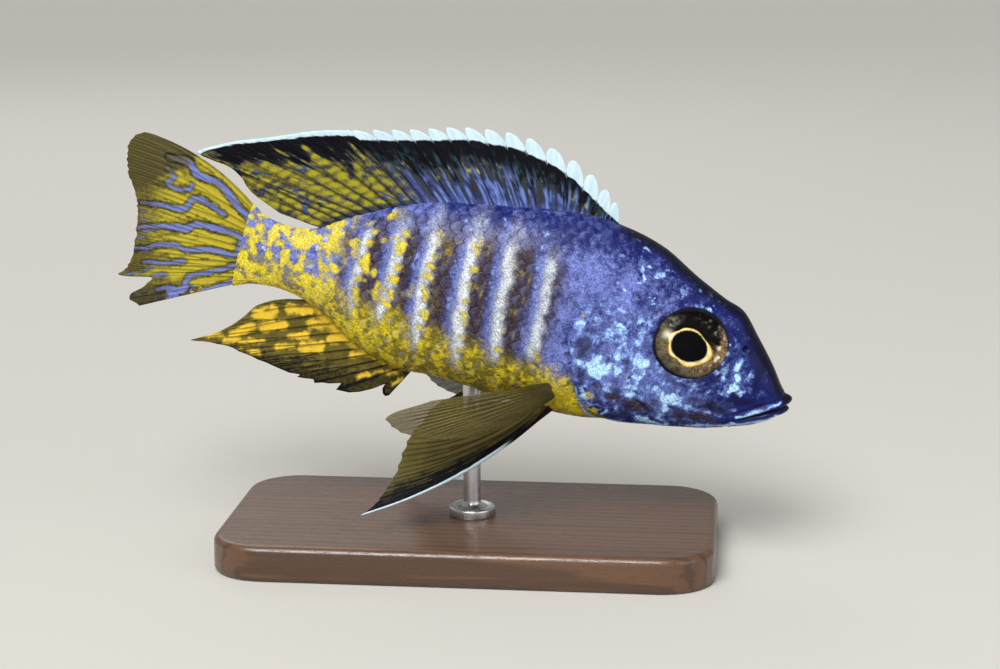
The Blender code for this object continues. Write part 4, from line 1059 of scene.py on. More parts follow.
# In eye radii, as are all places on the iris
PUPIL = (0.49, 0.46)
PUPIL_CENTRE = (-0.10, -0.06)
EYE_SHOWN = 0.93  # how much of the dome's radius shows inside the socket's edge
EYE_AROUND, EYE_RINGS = ((144, 60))
DOME_END = math.radians(100)


def iris_shares(forward, up):
    """The paints of an iris at places forward and up from its centre, with its painted glints and
    reflections.
    """
    spot = np.stack([forward, up, 0 * up], -1)
    rough, fibre = clouds(spot, 0.3, 41, 3), clouds(spot, 0.1, 42, 2)
    ahead, low = forward - PUPIL_CENTRE[0], up - PUPIL_CENTRE[1]
    angle = np.arctan2(low, ahead)
    shape = 1 + 0.08 * bell(angle + 0.4, 0.5) - 0.05 * bell(angle - 0.8, 0.5)
    shape = shape + 0.02 * bell(angle - 2.4, 0.4) + 0.012 * rough
    ring = np.hypot(ahead / PUPIL[0], low / PUPIL[1]) / shape
    lobes = 0.24 * bell(angle + 1.4, 0.45) + 0.22 * bell(angle + 0.25, 0.55) + 0.1 * bell(angle + 2.6, 0.5)
    lobes = lobes + 0.1 * bell(angle - 2.85, 0.35)
    ring_end = 1.05 + lobes + 0.05 * rough
    fade = 0.04 + 0.35 * lobes
    rim = np.hypot(forward, up) + 0.015 * rough
    above = ramp(np.sin(angle) - 0.4 * ramp(rim, 0.5, 1.1) + 0.14 * rough, -0.05, 0.5)
    front = ramp(np.cos(angle), 0.1, 0.9) * (1 - 0.8 * above)
    shade = above * ramp(1.14 - rim + 0.08 * rough, 0.0, 0.16) + 0.35 * ramp(rough, 0.1, 0.7)
    copper = front * ramp(rim + 0.14 * rough, 0.6, 0.85)
    copper = copper + 0.5 * ramp(fibre, 0.35, 0.9) * bell(rim - 0.72, 0.16)
    patch = bell(ring - 1.28, 0.24) * bell(angle - 2.87, 0.2) * (0.8 + 0.3 * fibre)
    # Painted highlights: glints round the front of the iris, and two arcs of painted reflection high on
    # either side.
    painted_reflection_arcs = bell(rim - 0.83, 0.1) * (bell(angle - 0.7, 0.4) + bell(angle - 2.55, 0.35))
    glints = np.maximum(bell(angle - 0.05, 0.7) * bell(rim - 0.8, 0.11), 0.25 * painted_reflection_arcs)
    return {
        "pupil": 1 - ramp(ring, 0.97, 1.03),
        "glow": 1 - ramp(ring, ring_end - fade, ring_end + fade),
        "shade": np.clip(shade, 0, 1),
        "haze": bell(rim - 0.84, 0.13) * (1 - ramp(np.sin(angle) + 0.2 * rough, -0.75, -0.1)),
        "copper": np.clip(copper, 0, 1),
        "olive": np.clip(1.0 - front - above + 0.3 * rough, 0, 1),
        "rim": ramp(rim + 0.012 * rough, 0.95, 0.985),
        "cream_patch_and_glint": np.maximum(0.85 * patch, ramp(fibre + 0.3 * rough, 0.15, 0.8) * glints),
        "murk": ramp(rim + 0.12 * rough, 0.68, 0.98),
    }


def eye_dome(name, side):
    """The front of the eyeball, as in the solid model, seen over the edge of its socket."""
    polar = np.linspace(0, DOME_END, EYE_RINGS + 1)[1:, None]
    angle = np.arange(EYE_AROUND)[None, :] * math.tau / EYE_AROUND
    forward, up = np.sin(polar) * np.cos(angle), np.sin(polar) * np.sin(angle)
    depth = side * EYE_RADII[1] * np.cos(polar) + 0 * angle
    own = np.stack([EYE_RADII[0] * forward, depth, EYE_RADII[2] * up], -1)
    cos_up, sin_up = math.cos(side * EYE_UP), math.sin(side * EYE_UP)
    cos_ahead, sin_ahead = math.cos(side * EYE_FORWARD), math.sin(side * EYE_FORWARD)
    tilt = np.array([[1, 0, 0], [0, cos_up, -sin_up], [0, sin_up, cos_up]])
    swing = np.array([[cos_ahead, sin_ahead, 0], [-sin_ahead, cos_ahead, 0], [0, 0, 1]])
    pole = np.array([[0, side * EYE_RADII[1], 0]])
    grid = np.concatenate([pole, own.reshape(-1, 3)])
    points = grid @ (swing @ tilt).T + np.array([-EYE_PLACE[0], side * EYE_DEPTH_CENTRE, EYE_PLACE[1]])
    seen = np.concatenate([[[0.0, 0.0]], np.stack([forward, up], -1).reshape(-1, 2)]) / EYE_SHOWN
    seen_angle, seen_radius = np.arctan2(seen[:, 1], seen[:, 0]), np.hypot(seen[:, 0], seen[:, 1])
    values = iris_shares(seen[:, 0], seen[:, 1])
    values["fish"] = points
    values["iris"] = np.column_stack([seen_angle, seen_radius, np.zeros(len(seen))])
    first = np.arange(EYE_AROUND)
    fan = np.column_stack([np.zeros(EYE_AROUND, int), 1 + first, 1 + (first + 1) % EYE_AROUND])
    closing = (1 + first + (EYE_RINGS - 1) * EYE_AROUND)[None, ::-1]
    faces = [fan, quads(EYE_RINGS, EYE_AROUND, wrap=True, start=1)[:, ::-1], closing]
    if side > 0:
        faces = [part[:, ::-1] for part in faces]
    return make_mesh(name, in_place(points), faces, values)


IRIS_BROWNS = ((0.016, 0.012, 0.005), (0.21, 0.16, 0.08))
IRIS_OLIVE = (0.12, 0.115, 0.05)
IRIS_COPPERS = ((0.20, 0.10, 0.04), (0.62, 0.40, 0.20))
IRIS_GREY = (0.15, 0.14, 0.14)
IRIS_MURK = (0.045, 0.036, 0.026)
IRIS_SHADE = (0.002, 0.0015, 0.0015)
RING_GOLDS = ((0.50, 0.30, 0.03), (0.84, 0.74, 0.42))
RING_OCHRE = (0.66, 0.44, 0.04)
RING_BROWN = (0.42, 0.27, 0.06)
PATCH_AND_GLINT_CREAM = (0.9, 0.82, 0.66)
RIM_BLACK = (0.008, 0.007, 0.016)
PUPIL_BLACK = (0.002, 0.002, 0.003)
FIBRES = (26.0, 7.0, 1.0)  # how closely the grain is set round the iris and outwards

iris_paint, tree, shader = start_paint("painted_iris")
thread = grain(scaled(read(tree, "iris", "Vector"), FIBRES), 1.0, 3.0, 0.6)
blotch = grain(read(tree, "fish", "Vector"), 1.4, 3.0, 0.7)
colour = layer(spread(thread, 0.38, 0.62), *IRIS_BROWNS)
mottled = times(read(tree, "olive"), spread(blotch, 0.4, 0.6, 0.1, 0.75))
colour = layer(mottled, colour, IRIS_OLIVE)
copper = times(read(tree, "copper"), spread(blotch, 0.3, 0.6, 0.45, 0.9))
colour = layer(copper, colour, layer(spread(thread, 0.4, 0.6), *IRIS_COPPERS))
haze = times(read(tree, "haze"), spread(blotch, 0.3, 0.65))
colour = layer(times(haze, 0.6), colour, IRIS_GREY)
murk = times(read(tree, "murk"), spread(blotch, 0.35, 0.6, 0.8, 0.45))
colour = layer(murk, colour, IRIS_MURK)
shade = times(read(tree, "shade"), spread(blotch, 0.35, 0.7, 1.0, 0.985))
colour = layer(shade, colour, IRIS_SHADE)
gold = layer(spread(read(tree, "glow"), 0.5, 1.0), *RING_GOLDS)
gold = layer(spread(blotch, 0.45, 0.65, 0.0, 0.8), gold, RING_OCHRE)
gold = layer(spread(thread, 0.5, 0.7, 0.0, 0.35), gold, RING_BROWN)
colour = layer(spread(read(tree, "glow"), 0.1, 0.5), colour, gold)
# The cream patch behind the pupil, with the painted glints and reflections.
colour = layer(read(tree, "cream_patch_and_glint"), colour, PATCH_AND_GLINT_CREAM)
colour = layer(times(read(tree, "rim"), 0.9), colour, RIM_BLACK)
colour = layer(read(tree, "pupil"), colour, PUPIL_BLACK)
wire(shader, colour, thread, 0.1)
shader.inputs["Roughness"].default_value = 0.45
shader.inputs["Specular IOR Level"].default_value = 0.02
shader.inputs["Coat Weight"].default_value = 0.15
shader.inputs["Coat Roughness"].default_value = 0.05
shader.inputs["Coat IOR"].default_value = 1.22

for side, word in ((-1, "right"), (1, "left")):
    eye = eye_dome(f"eye_dome_{word}", side)
    eye.data.materials.append(iris_paint)
    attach(eye, "root")
    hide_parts(f"eye_{word}")


# The dorsal fin: fifteen spines and ten soft rays in one web that grows out of a sheath of scales
# along the back. Behind each spine the web stands up in a white lappet. Like every fin here it is a
# thin cast sheet, ribbed by its rays and painted on both faces.

SPINES = 15
SOFT_RAYS = 10
SPINE_ROOTS = (35.7, 67.4)
SOFT_ROOTS = (69.0, 84.1)
# A fin's edge: the place counted in rays, then behind and up
DORSAL_EDGE = [
    (0.0, 35.9, 23.3), (1.6, 39.1, 25.9), (3.6, 45.6, 29.1), (5.6, 53.6, 30.6), (8.6, 64.0, 29.5),
    (11.6, 73.0, 26.6), (14.6, 82.3, 23.7), (16.5, 89.5, 21.4), (18.0, 97.0, 18.0),
    (19.5, 104.5, 14.6), (20.4, 109.0, 11.7), (21.4, 104.6, 11.4), (22.6, 100.4, 9.9),
    (23.5, 97.0, 7.5), (24.0, 92.0, 5.9),
]
LAPPET_RISE = 2.1
LAPPET_SHARES = [(0, 0.7), (1, 1.0), (2.5, 1.3), (5, 1.15), (9, 0.9), (SPINES - 0.1, 0.8), (SPINES, 0.4)]
LAPPET_CUSP = [(0, 0.5), (4, 0.56), (8, 0.78)]
FIN_STEPS = 14  # columns from one ray to the next
DORSAL_ROWS = 62
WEB_HALF = 0.11
FIN_ROOT_HALF = 0.6
EDGE_THINNING = 0.45
FLOW_PER_RAY, FLOW_PER_MM = 4.5, 0.22
RAY_PARTS = ((0.3, 0.75), (0.6, 1.0))  # where a ray parts into two, and then into four
UNBRANCHED = ((2.0, 3.0), (2.0, 3.0))


def read_edge(table, place):
    count, behind, up = np.array(table).T
    return np.column_stack([-smooth(place, count, behind), np.zeros(len(place)), smooth(place, count, up)])


def fin_web(place, root, edge, rows, nick, bow=0.0):
    """The middle surface from a root line to an edge line that is cut back by nick, and how far
    out each point lies, as a share and in millimetres before the cut."""
    length = np.linalg.norm(edge - root, axis=1)
    edge = root + (edge - root) * (1 - nick / length)[:, None]
    run = edge - root
    across = np.column_stack([-run[:, 2], np.zeros(len(run)), run[:, 0]])
    share = np.linspace(0, 1, rows)[None, :, None]
    surface = root[:, None, :] * (1 - share) + edge[:, None, :] * share
    surface = surface + across[:, None, :] * bow * 4 * share * (1 - share)
    share = share[..., 0]
    run = length[:, None] * share
    return SimpleNamespace(place=place, surface=surface, share=share, length=length, run=run)


def ray_ribs(web, thick, thin, splits=RAY_PARTS):
    """How much each point belongs to a ray."""
    part = (web.place - np.round(web.place))[:, None] + 0 * web.share
    step = np.linalg.norm(np.diff(web.surface, axis=0), axis=-1) / np.diff(web.place)[:, None]
    step = np.concatenate([step, step[-1:]])
    first = 0.25 * ramp(web.share, *splits[0])
    second = 0.125 * ramp(web.share, *splits[1])
    width = thick + (thin - thick) * web.share
    rib = np.zeros_like(part)
    for one in (-1, 1):
        for two in (-1, 1):
            off = (part - one * first - two * second) * step
            rib = np.maximum(rib, bell(off, width))
    return rib


def half_thickness(web, rib, half=WEB_HALF, rise=0.34, lost=0.26):
    """Half the web's thickness, with rays that stand out less and less towards the edge."""
    return half + (rise - lost * web.share) * rib


def flow_of(place, run, per_ray, per_mm):
    """Coordinates that follow the rays, so that grain drawn on them runs from root to edge."""
    return np.stack(np.broadcast_arrays(place[:, None] * per_ray, run * per_mm, 0.0), -1)


def joints(run, every=0.75):
    """Cross lines where a soft ray's segments meet."""
    return bell((run / every) % 1 - 0.5, 0.12)


FIN_PAINTS = ("ray", "gold", "blue", "ink", "white", "joint")


def fin_sheet(name, web, half, paints, root_half=FIN_ROOT_HALF, per_ray=FLOW_PER_RAY):
    """A closed thin sheet about the middle surface, thick at its root, with paints on both faces."""
    normal = upright(np.gradient(web.surface, axis=0), np.gradient(web.surface, axis=1))
    columns, rows = web.surface.shape[:2]
    half = half + (root_half - WEB_HALF) * np.clip(1 - web.share * 9, 0, 1) ** 1.5
    thinning = np.full((columns, rows), EDGE_THINNING)
    thinning[1:-1, :-1] = 1.0
    offset = normal * (half * thinning)[..., None]
    points = np.concatenate([(web.surface + offset).reshape(-1, 3), (web.surface - offset).reshape(-1, 3)])
    other = columns * rows
    rim = list(range(rows)) + [c * rows + rows - 1 for c in range(1, columns)]
    rim += [(columns - 1) * rows + r for r in range(rows - 2, -1, -1)]
    rim += [c * rows for c in range(columns - 2, 0, -1)]
    rim, following = np.array(rim), np.roll(rim, -1)
    face = quads(columns, rows)
    faces = [face[:, ::-1], face + other, np.stack([rim, following, following + other, rim + other], -1)]
    flow = flow_of(web.place, web.run, per_ray, FLOW_PER_MM).reshape(other, 3)
    values = {"flow": np.tile(flow, (2, 1)), "fish": points}
    for part in {**dict.fromkeys(FIN_PAINTS), **paints}:
        share = np.clip(paints.get(part, 0.0), 0, 1)
        values[part] = np.tile(np.broadcast_to(share, (columns, rows)).ravel(), 2)
    return make_mesh(name, in_place(points), faces, values)


FIN_DOTS = {"gold": (1.9, 0.7), "blue": (2.0, 0.7), "ink": (1.8, 0.6), "white": (2.6, 0.35)}
FIN_INK = (0.002, 0.002, 0.004)
HEM_WHITES = ((0.28, 0.44, 0.55), (0.64, 0.74, 0.76))


def dimmed(colour, share):
    return tuple(min(1, share * part) for part in colour)


def fin_material(name, web, ray, gold, blue, rough, clear=0.0, coats=()):
    """Painted fin web: streaks along the rays, darker rays, and the fin's own markings."""
    paint, tree, shader = start_paint(name)
    place = read(tree, "fish", "Vector")
    streak = grain(read(tree, "flow", "Vector"), 1.0, 3.0, 0.65)
    fleck = grain(place, 3.4, 2.0, 0.65)
    shares = {part: stippled(read(tree, part), place, *amounts) for part, amounts in FIN_DOTS.items()}
    colour = layer(streak, dimmed(web, 0.55), dimmed(web, 1.5))
    colour = layer(times(read(tree, "ray"), 0.75), colour, ray)
    colour = layer(shares["gold"], colour, layer(fleck, dimmed(gold, 0.62), gold))
    colour = layer(shares["blue"], colour, layer(fleck, dimmed(blue, 0.6), blue))
    colour = layer(times(read(tree, "ray"), 0.55), colour, ray)
    colour = layer(shares["ink"], colour, FIN_INK)
    colour = layer(shares["white"], colour, layer(streak, *HEM_WHITES))
    for part, strength, coat_colour in coats:
        colour = layer(times(read(tree, part), strength), colour, coat_colour)
    height = maths("MULTIPLY_ADD", read(tree, "joint"), -0.5, maths("ADD", streak, fleck))
    wire(shader, colour, height, 0.06)
    shader.inputs["Roughness"].default_value = rough
    shader.inputs["Specular IOR Level"].default_value = 0.08
    if clear:
        body = spread(streak, 0.3, 0.75, 1 - clear, 1 - clear * 0.6)
        solid = maths("MAXIMUM", maths("MAXIMUM", body, read(tree, "ray")), read(tree, "thick"))
        tree.links.new(solid, shader.inputs["Alpha"])
    return paint


def dorsal_shape():
    """The dorsal web with its lappets and ribs, and how far over the lappets' feet each point lies."""
    last = SPINES + SOFT_RAYS - 1
    place = np.linspace(0, last, last * FIN_STEPS + 1)
    behind = np.interp(place, [0, SPINES - 1, SPINES, last], [*SPINE_ROOTS, *SOFT_ROOTS])
    root = np.column_stack([-behind, 0 * behind, back(behind) - 0.35])
    part = place % 1
    cusp = np.interp(np.floor(place), *np.array(LAPPET_CUSP).T)
    rising = np.sin(np.clip(part / cusp, 0, 1) * math.pi / 2) ** 0.6
    falling = np.sqrt(np.clip(1 - ((part - cusp) / (1 - cusp)) ** 2, 0, 1))
    lobe = np.where(part < cusp, rising, falling)
    lobe = np.where(place < SPINES, lobe, 0.9 + 0.1 * np.cos(part * math.tau) ** 2)
    rise = LAPPET_RISE * np.interp(place, *np.array(LAPPET_SHARES).T)
    nick = (1 - lobe) * rise
    web = fin_web(place, root, read_edge(DORSAL_EDGE, place), DORSAL_ROWS, nick)
    web.surface[..., 1] += 0.5 * np.sin(place / last * 7.0)[:, None] * web.share**2
    web.surface[..., 1] += 0.12 * np.sin(part * math.tau)[:, None] * web.share * (1 - web.share) * 2
    branched, plain = ray_ribs(web, 0.3, 0.12), ray_ribs(web, 0.3, 0.13, UNBRANCHED)
    web.rib = np.where((place < SPINES - 1)[:, None], plain, branched)
    web.run = (web.length - nick)[:, None] * web.share
    web.over = web.run - (web.length - rise)[:, None]
    return web


WHITE_DEPTH = [(0, 0.7), (10, 0.45), (15, 0.5), (17, 0.4), (20, -0.05), (21.5, -0.6)]
INK_START = [
    (0, 0.05), (1.5, 0.12), (4, 0.32), (8, 0.42), (12, 0.46), (15, 0.54), (18, 0.7), (20, 0.76), (22, 1.0),
    (24, 1.3),
]
BLUE_LINES = ((0.2, 0.03), (0.4, -0.02), (0.6, 0.015), (0.78, 0.0))  # how far out, and the tilt
LINES_LEVEL_AT = 19


def dorsal_paints(web):
    """A white hem over a black band, blue streaks in front, and yellow spots between blue lines behind."""
    place, share, run = web.place[:, None], web.share, web.run
    coarse, fine = clouds(web.surface, 2.6, 51), clouds(web.surface, 0.9, 52)
    flowing = flow_of(web.place, run, 2.4, 0.35)
    streaky, hair = clouds(flowing, 1.0, 53, 3), clouds(flowing * (3.4, 0.8, 1), 1.0, 54, 2)
    specks = clouds(flowing * (2.2, 2.4, 1.0), 1.0, 55, 3)
    white = ramp(web.over + np.interp(place, *np.array(WHITE_DEPTH).T) + 0.15 * fine, -0.12, 0.2)
    white = white * (1 - ramp(place, 20.6, 21.0))
    from_ink = share - np.interp(place, *np.array(INK_START).T)
    ink = ramp(from_ink + 0.24 * streaky + 0.14 * hair, -0.16, 0.2)
    soft = ramp(place, 12.5, 17.0)
    soft = np.clip(soft * (1 + 0.5 * hair * (1 - soft)), 0, 1)
    shift = 0.5 * (np.floor(place) % 2) + 0.25 * coarse
    round_spot = bell(place % 1 - 0.5, 0.36) * bell((run / 2.0 + shift) % 1 - 0.5, 0.34)
    gold = soft * ramp(share, 0.03, 0.1) * ramp(1 - ink, 0.2, 0.8) * (0.34 + 0.7 * round_spot)
    gold = gold * (1 - 0.55 * ramp(clouds(web.surface, 1.3, 57) + 0.3 * fine, 0.2, 1.0))
    lines = 0.0
    for line_share, tilt in BLUE_LINES:
        wave = 0.015 * coarse + 0.035 * np.sin(place * math.tau + 5 * line_share)
        lines = np.maximum(lines, bell(share - line_share - tilt * (place - LINES_LEVEL_AT) + wave, 0.022))
    lines = lines * ramp(clouds(web.surface, 1.6, 58), -0.3, 0.4) * ramp(1 - ink, 0.4, 0.9)
    gold = gold * (1 - 0.95 * lines)
    gold = np.maximum(gold, 0.8 * ramp(specks, 0.1, 0.8) * bell(from_ink - 0.05, 0.17) * (1 - soft))
    streaked = 0.45 + 0.55 * ramp(hair + 0.6 * specks, -0.7, 0.7)
    blue = ramp(0.3 * hair - from_ink, -0.1, 0.35) * (1 - soft) * streaked + 0.75 * lines * soft
    pale_streak = ramp(hair + 0.5 * specks, 0.1, 0.9) * ramp(0.68 - share, 0.0, 0.45) * (1 - soft)
    teal = bell(from_ink - 0.12, 0.17) * ramp(-specks + 0.3 * hair, 0.2, 0.9) * (1 - soft)
    return {
        "ray": web.rib * (0.7 + 0.3 * soft), "gold": gold * (1 - teal), "blue": blue, "white": white,
        "ink": ink * (1 - 0.6 * teal) * (1 - 0.6 * gold), "joint": joints(run) * soft,
        "streak": pale_streak, "teal": teal,
    }


web = dorsal_shape()
dorsal = fin_sheet("dorsal_web", web, half_thickness(web, web.rib), dorsal_paints(web))
dorsal.data.materials.append(fin_material(
    "dorsal_paint", web=(0.026, 0.030, 0.036), ray=(0.006, 0.007, 0.014), gold=(0.34, 0.30, 0.012),
    blue=(0.05, 0.07, 0.27), rough=0.5,
    coats=(("teal", 0.6, (0.012, 0.075, 0.085)), ("streak", 0.62, (0.17, 0.26, 0.56))),
))
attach(dorsal, "root")
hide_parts("dorsal_fin")


# The anal fin: three spines with free tips and nine soft rays, drawn out to a point behind. The
# yellow egg spots that only the male has are painted between its olive-brown rays.

ANAL_ROOTS = (62.6, 83.6)
ANAL_RAYS = 12
ANAL_SPINES_END = 2.5
ANAL_ROWS = 58
ANAL_LOBES = [  # the notched front of the edge: place, behind, up
    (0.0, 65.4, -18.8), (0.07, 66.0, -19.1), (0.14, 66.5, -18.8), (0.2, 66.8, -17.9), (0.27, 66.5, -17.0),
    (0.46, 68.4, -18.5), (0.66, 70.4, -19.7), (0.86, 72.2, -20.4), (1.0, 74.5, -20.6), (1.1, 73.9, -19.2),
    (1.4, 75.9, -19.9), (1.7, 77.1, -20.1), (2.0, 78.4, -20.6), (2.12, 78.8, -20.0), (2.55, 80.2, -20.3),
    (3.0, 81.6, -20.5), (3.1, 81.2, -19.9), (3.6, 83.2, -20.2), (4.0, 85.2, -20.0),
]
ANAL_EDGE = [
    (4.0, 85.2, -20.0), (5.5, 91.0, -19.6), (6.8, 95.8, -19.3), (7.5, 99.2, -19.8), (8.0, 101.8, -20.3),
    (8.4, 99.6, -18.9), (8.8, 97.2, -17.2), (9.1, 95.7, -15.8), (9.5, 93.9, -13.5), (9.9, 92.3, -11.2),
    (10.4, 89.8, -9.2), (11.0, 86.6, -7.9),
]
EGG_SPOTS = [  # from, to and half width of each yellow spot
    (91.3, -12.2, 89.0, -11.0, 1.25), (86.2, -9.5, 82.6, -8.6, 0.95), (94.7, -16.9, 91.7, -14.6, 0.85),
    (98.8, -18.4, 96.9, -17.7, 0.6), (89.6, -14.1, 86.2, -12.5, 0.95), (81.9, -11.1, 78.3, -9.6, 1.0),
    (84.6, -14.1, 82.2, -13.1, 0.75), (86.5, -16.6, 83.8, -15.5, 0.7), (82.0, -15.1, 79.3, -14.1, 1.1),
    (77.3, -12.1, 74.9, -11.0, 1.1), (95.7, -18.4, 89.3, -16.3, 0.45), (73.6, -14.0, 71.2, -12.9, 0.5),
    (69.5, -16.4, 68.0, -15.1, 0.5), (67.6, -13.6, 66.1, -13.0, 0.55), (93.1, -19.1, 89.2, -18.2, 0.35),
    (65.2, -16.6, 63.6, -15.2, 0.3), (66.4, -14.9, 65.3, -14.4, 0.45), (71.4, -17.2, 69.9, -16.4, 0.35),
]
DARK_FROM = [(0, 0.12), (1, 0.14), (2, 0.3), (4, 0.55), (7, 0.9), (9, 1.3)]


def anal_shape():
    """The anal web with its notched front and its ribs, and the rays' lengths after the cut."""
    last = ANAL_RAYS - 1
    lobes = np.array(ANAL_LOBES)
    place = np.unique(np.concatenate([np.linspace(0, last, last * FIN_STEPS + 1), lobes[:, 0]]))
    behind = np.interp(place, [0, last], ANAL_ROOTS)
    root = np.column_stack([-behind, 0 * behind, belly(behind) + 0.35])
    edge = read_edge(ANAL_EDGE, np.maximum(place, lobes[-1, 0]))
    notched = place < lobes[-1, 0]
    edge[notched, 0] = -np.interp(place[notched], lobes[:, 0], lobes[:, 1])
    edge[notched, 2] = np.interp(place[notched], lobes[:, 0], lobes[:, 2])
    nick = 0.3 * np.abs(np.sin(place * math.pi)) * ramp(place, 4.0, 5.0)
    web = fin_web(place, root, edge, ANAL_ROWS, nick)
    web.surface[..., 1] += -0.7 * np.sin(place / last * 3.2)[:, None] * web.share**2
    branched, plain = ray_ribs(web, 0.24, 0.1), ray_ribs(web, 0.32, 0.14, UNBRANCHED)
    web.rib = np.where((place < ANAL_SPINES_END)[:, None], plain, branched)
    web.full = (web.length - nick)[:, None]
    return web


def anal_paints(web):
    """Yellow egg spots on a brown net, darker towards the notched front edge."""
    place, share, rib = web.place[:, None], web.share, web.rib
    fine = clouds(web.surface, 0.9, 62)
    behind, up = -web.surface[..., 0], web.surface[..., 2]
    gold = 0.0
    for *ends, wide in EGG_SPOTS:
        off, _ = from_path(np.reshape(ends, (2, 2)), behind, up, 1)
        gold = np.maximum(gold, 1 - ramp(np.abs(off) + 0.35 * fine, wide - 0.65, wide + 0.5))
    gold = gold * (1 - 0.4 * rib) * (0.85 + 0.15 * clouds(web.surface, 1.6, 64))
    front = 1 - ramp(place, 2.5, 8.0)
    margin = web.full * (1 - share)
    streaky = clouds(flow_of(web.place, web.full * share, 4, 0.4), 1.0, 65, 3)
    from_dark = share - np.interp(place, *np.array(DARK_FROM).T)
    ink = 0.8 * ramp(from_dark + 0.14 * fine + 0.24 * streaky, -0.2, 0.24) * (0.75 + 0.25 * rib)
    ink = np.clip(ink + 0.3 * front * (1 - ramp(margin, 0.2, 0.8)), 0, 0.86)
    ink = np.maximum(ink, 0.75 * rib * front)
    dark_net = 0.6 * ramp(clouds(web.surface, 2.2, 63) + 0.4 * fine, -0.3, 0.5) * (1 - gold)
    return {
        "ray": rib * 0.9, "gold": np.maximum(gold, (1 - ramp(share, 0.02, 0.16)) * 0.7),
        "ink": np.maximum(ink * (1 - 0.7 * gold), 0.55 * dark_net),
        "white": (1 - ramp(margin, 0.15, 0.4)) * 0.25 * (place > 2), "joint": joints(web.full * share),
    }


web = anal_shape()
anal = fin_sheet("anal_web", web, half_thickness(web, web.rib), anal_paints(web))
anal.data.materials.append(fin_material(
    "anal_paint", web=(0.105, 0.085, 0.014), ray=(0.03, 0.022, 0.008), gold=(0.78, 0.52, 0.04),
    blue=(0.2, 0.2, 0.4), rough=0.5,
))
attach(anal, "root")
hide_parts("anal_fin")


# The tail fin: seventeen branched rays that fan out of the end of the spine, with a nearly straight
# rear edge and the lowest rays folded to the right. Blue streaks run through the yellow web.

TAIL_RAYS = 17
TAIL_ROWS = 76
TAIL_ROOT_HALF = (0.2, 0.95)  # at the outermost rays, and in the middle
TAIL_EDGE = [
    (0.0, 112.0, -17.1), (0.8, 114.5, -16.1), (1.5, 111.9, -13.0), (1.75, 111.6, -12.0), (2.3, 117.3, -13.4),
    (3.0, 116.7, -12.0), (5.5, 116.1, -7.6), (8.0, 117.0, -2.6), (10.0, 118.3, 1.0), (12.0, 120.6, 4.6),
    (13.4, 121.2, 7.6), (14.8, 120.9, 10.8), (15.4, 119.2, 12.2), (16.0, 116.4, 12.3),
]
TAIL_FOLD = 2.2
TAIL_BOW = 0.072  # how far the upper rays arch, as a share of their length
FRAYS_PER_RAY = 4
BLUE_STREAKS = [  # places along each streak, and its half width
    ([(96.4, 3.3), (99.0, 4.6), (100.8, 5.8), (102.5, 7.1), (104.3, 7.9), (106.2, 7.8), (108.1, 8.0),
      (109.6, 9.4), (111.3, 9.7), (113.6, 9.2)], 0.6),
    ([(101.6, 2.7), (104.6, 3.7), (106.5, 4.0), (107.8, 3.4), (108.7, 1.4), (111.0, 0.9), (113.5, 0.7),
      (116.8, 0.1)], 0.48),
    ([(108.5, 6.0), (108.7, 5.1), (111.2, 4.5), (113.0, 5.0), (112.0, 6.1), (112.4, 6.7), (113.6, 7.4)],
     0.38),
    ([(97.3, -0.5), (98.3, 0.2), (101.9, 0.0), (106.0, -0.5), (107.5, -1.7), (109.9, -2.2), (112.2, -2.8),
      (116.4, -4.2)], 0.5),
    ([(97.6, -1.2), (97.5, -2.8), (98.2, -3.7), (100.9, -3.9), (103.0, -4.1), (106.6, -5.2), (108.5, -5.0),
      (111.1, -5.8), (113.7, -7.0), (116.3, -7.9)], 0.44),
    ([(106.6, -7.2), (109.3, -8.6), (111.7, -9.1), (113.7, -9.7)], 0.4),
    ([(96.6, -4.6), (100.1, -6.9), (103.9, -9.0), (105.1, -9.9), (105.3, -11.0), (105.0, -11.7),
      (106.2, -12.4), (108.0, -12.5), (109.9, -13.5)], 0.42),
    ([(94.3, -7.5), (96.1, -7.3), (97.6, -8.5), (98.8, -9.3), (100.6, -10.5), (101.8, -11.3)], 0.4),
    ([(111.8, -10.3), (114.6, -12.0), (117.2, -13.4)], 0.2), ([(109.2, -10.4), (111.4, -11.6)], 0.28),
    ([(115.6, -1.4), (117.2, -1.8)], 0.2), ([(114.6, -2.4), (116.2, -2.9)], 0.16),
    ([(112.8, -3.9), (115.0, -4.5)], 0.16), ([(114.6, -5.5), (116.4, -6.2)], 0.18),
    ([(113.2, -7.6), (114.8, -8.0)], 0.16),
]


def tail_shape():
    """The tail's web, folded to the right low down, with its ribs and its outermost rays."""
    last = TAIL_RAYS - 1
    place = np.linspace(0, last, last * FIN_STEPS + 1)
    outermost = np.abs(2 * place / last - 1) ** 4
    up_root = np.interp(place, [0, last], [belly(SKIN_END - 1) + 0.4, back(SKIN_END - 1) - 0.4])
    root = np.column_stack([-(SKIN_END - 2.6) - 1.6 * outermost, 0 * place, up_root])
    random = np.random.default_rng(7)
    frays = np.arange(last * FRAYS_PER_RAY + 1) / FRAYS_PER_RAY
    nick = np.interp(place, frays, np.abs(random.normal(0, 0.16, len(frays))))
    nick = nick + 0.16 * np.abs(np.sin(place * math.tau))
    bow = -TAIL_BOW * ramp(place, 8.0, last)
    web = fin_web(place, root, read_edge(TAIL_EDGE, place), TAIL_ROWS, nick, bow[:, None, None])
    along = place / last
    fold = -TAIL_FOLD * bell(along, 0.13) + 0.5 * np.sin(along * 11.0 + 1.0)
    outer = np.clip((web.share - 0.1) / 0.9, 0, 1)
    web.surface[..., 1] += fold[:, None] * outer**1.6
    web.rib = ray_ribs(web, 0.26, 0.1, ((0.25, 0.6), (0.55, 0.95)))
    web.outermost = outermost[:, None]
    return web


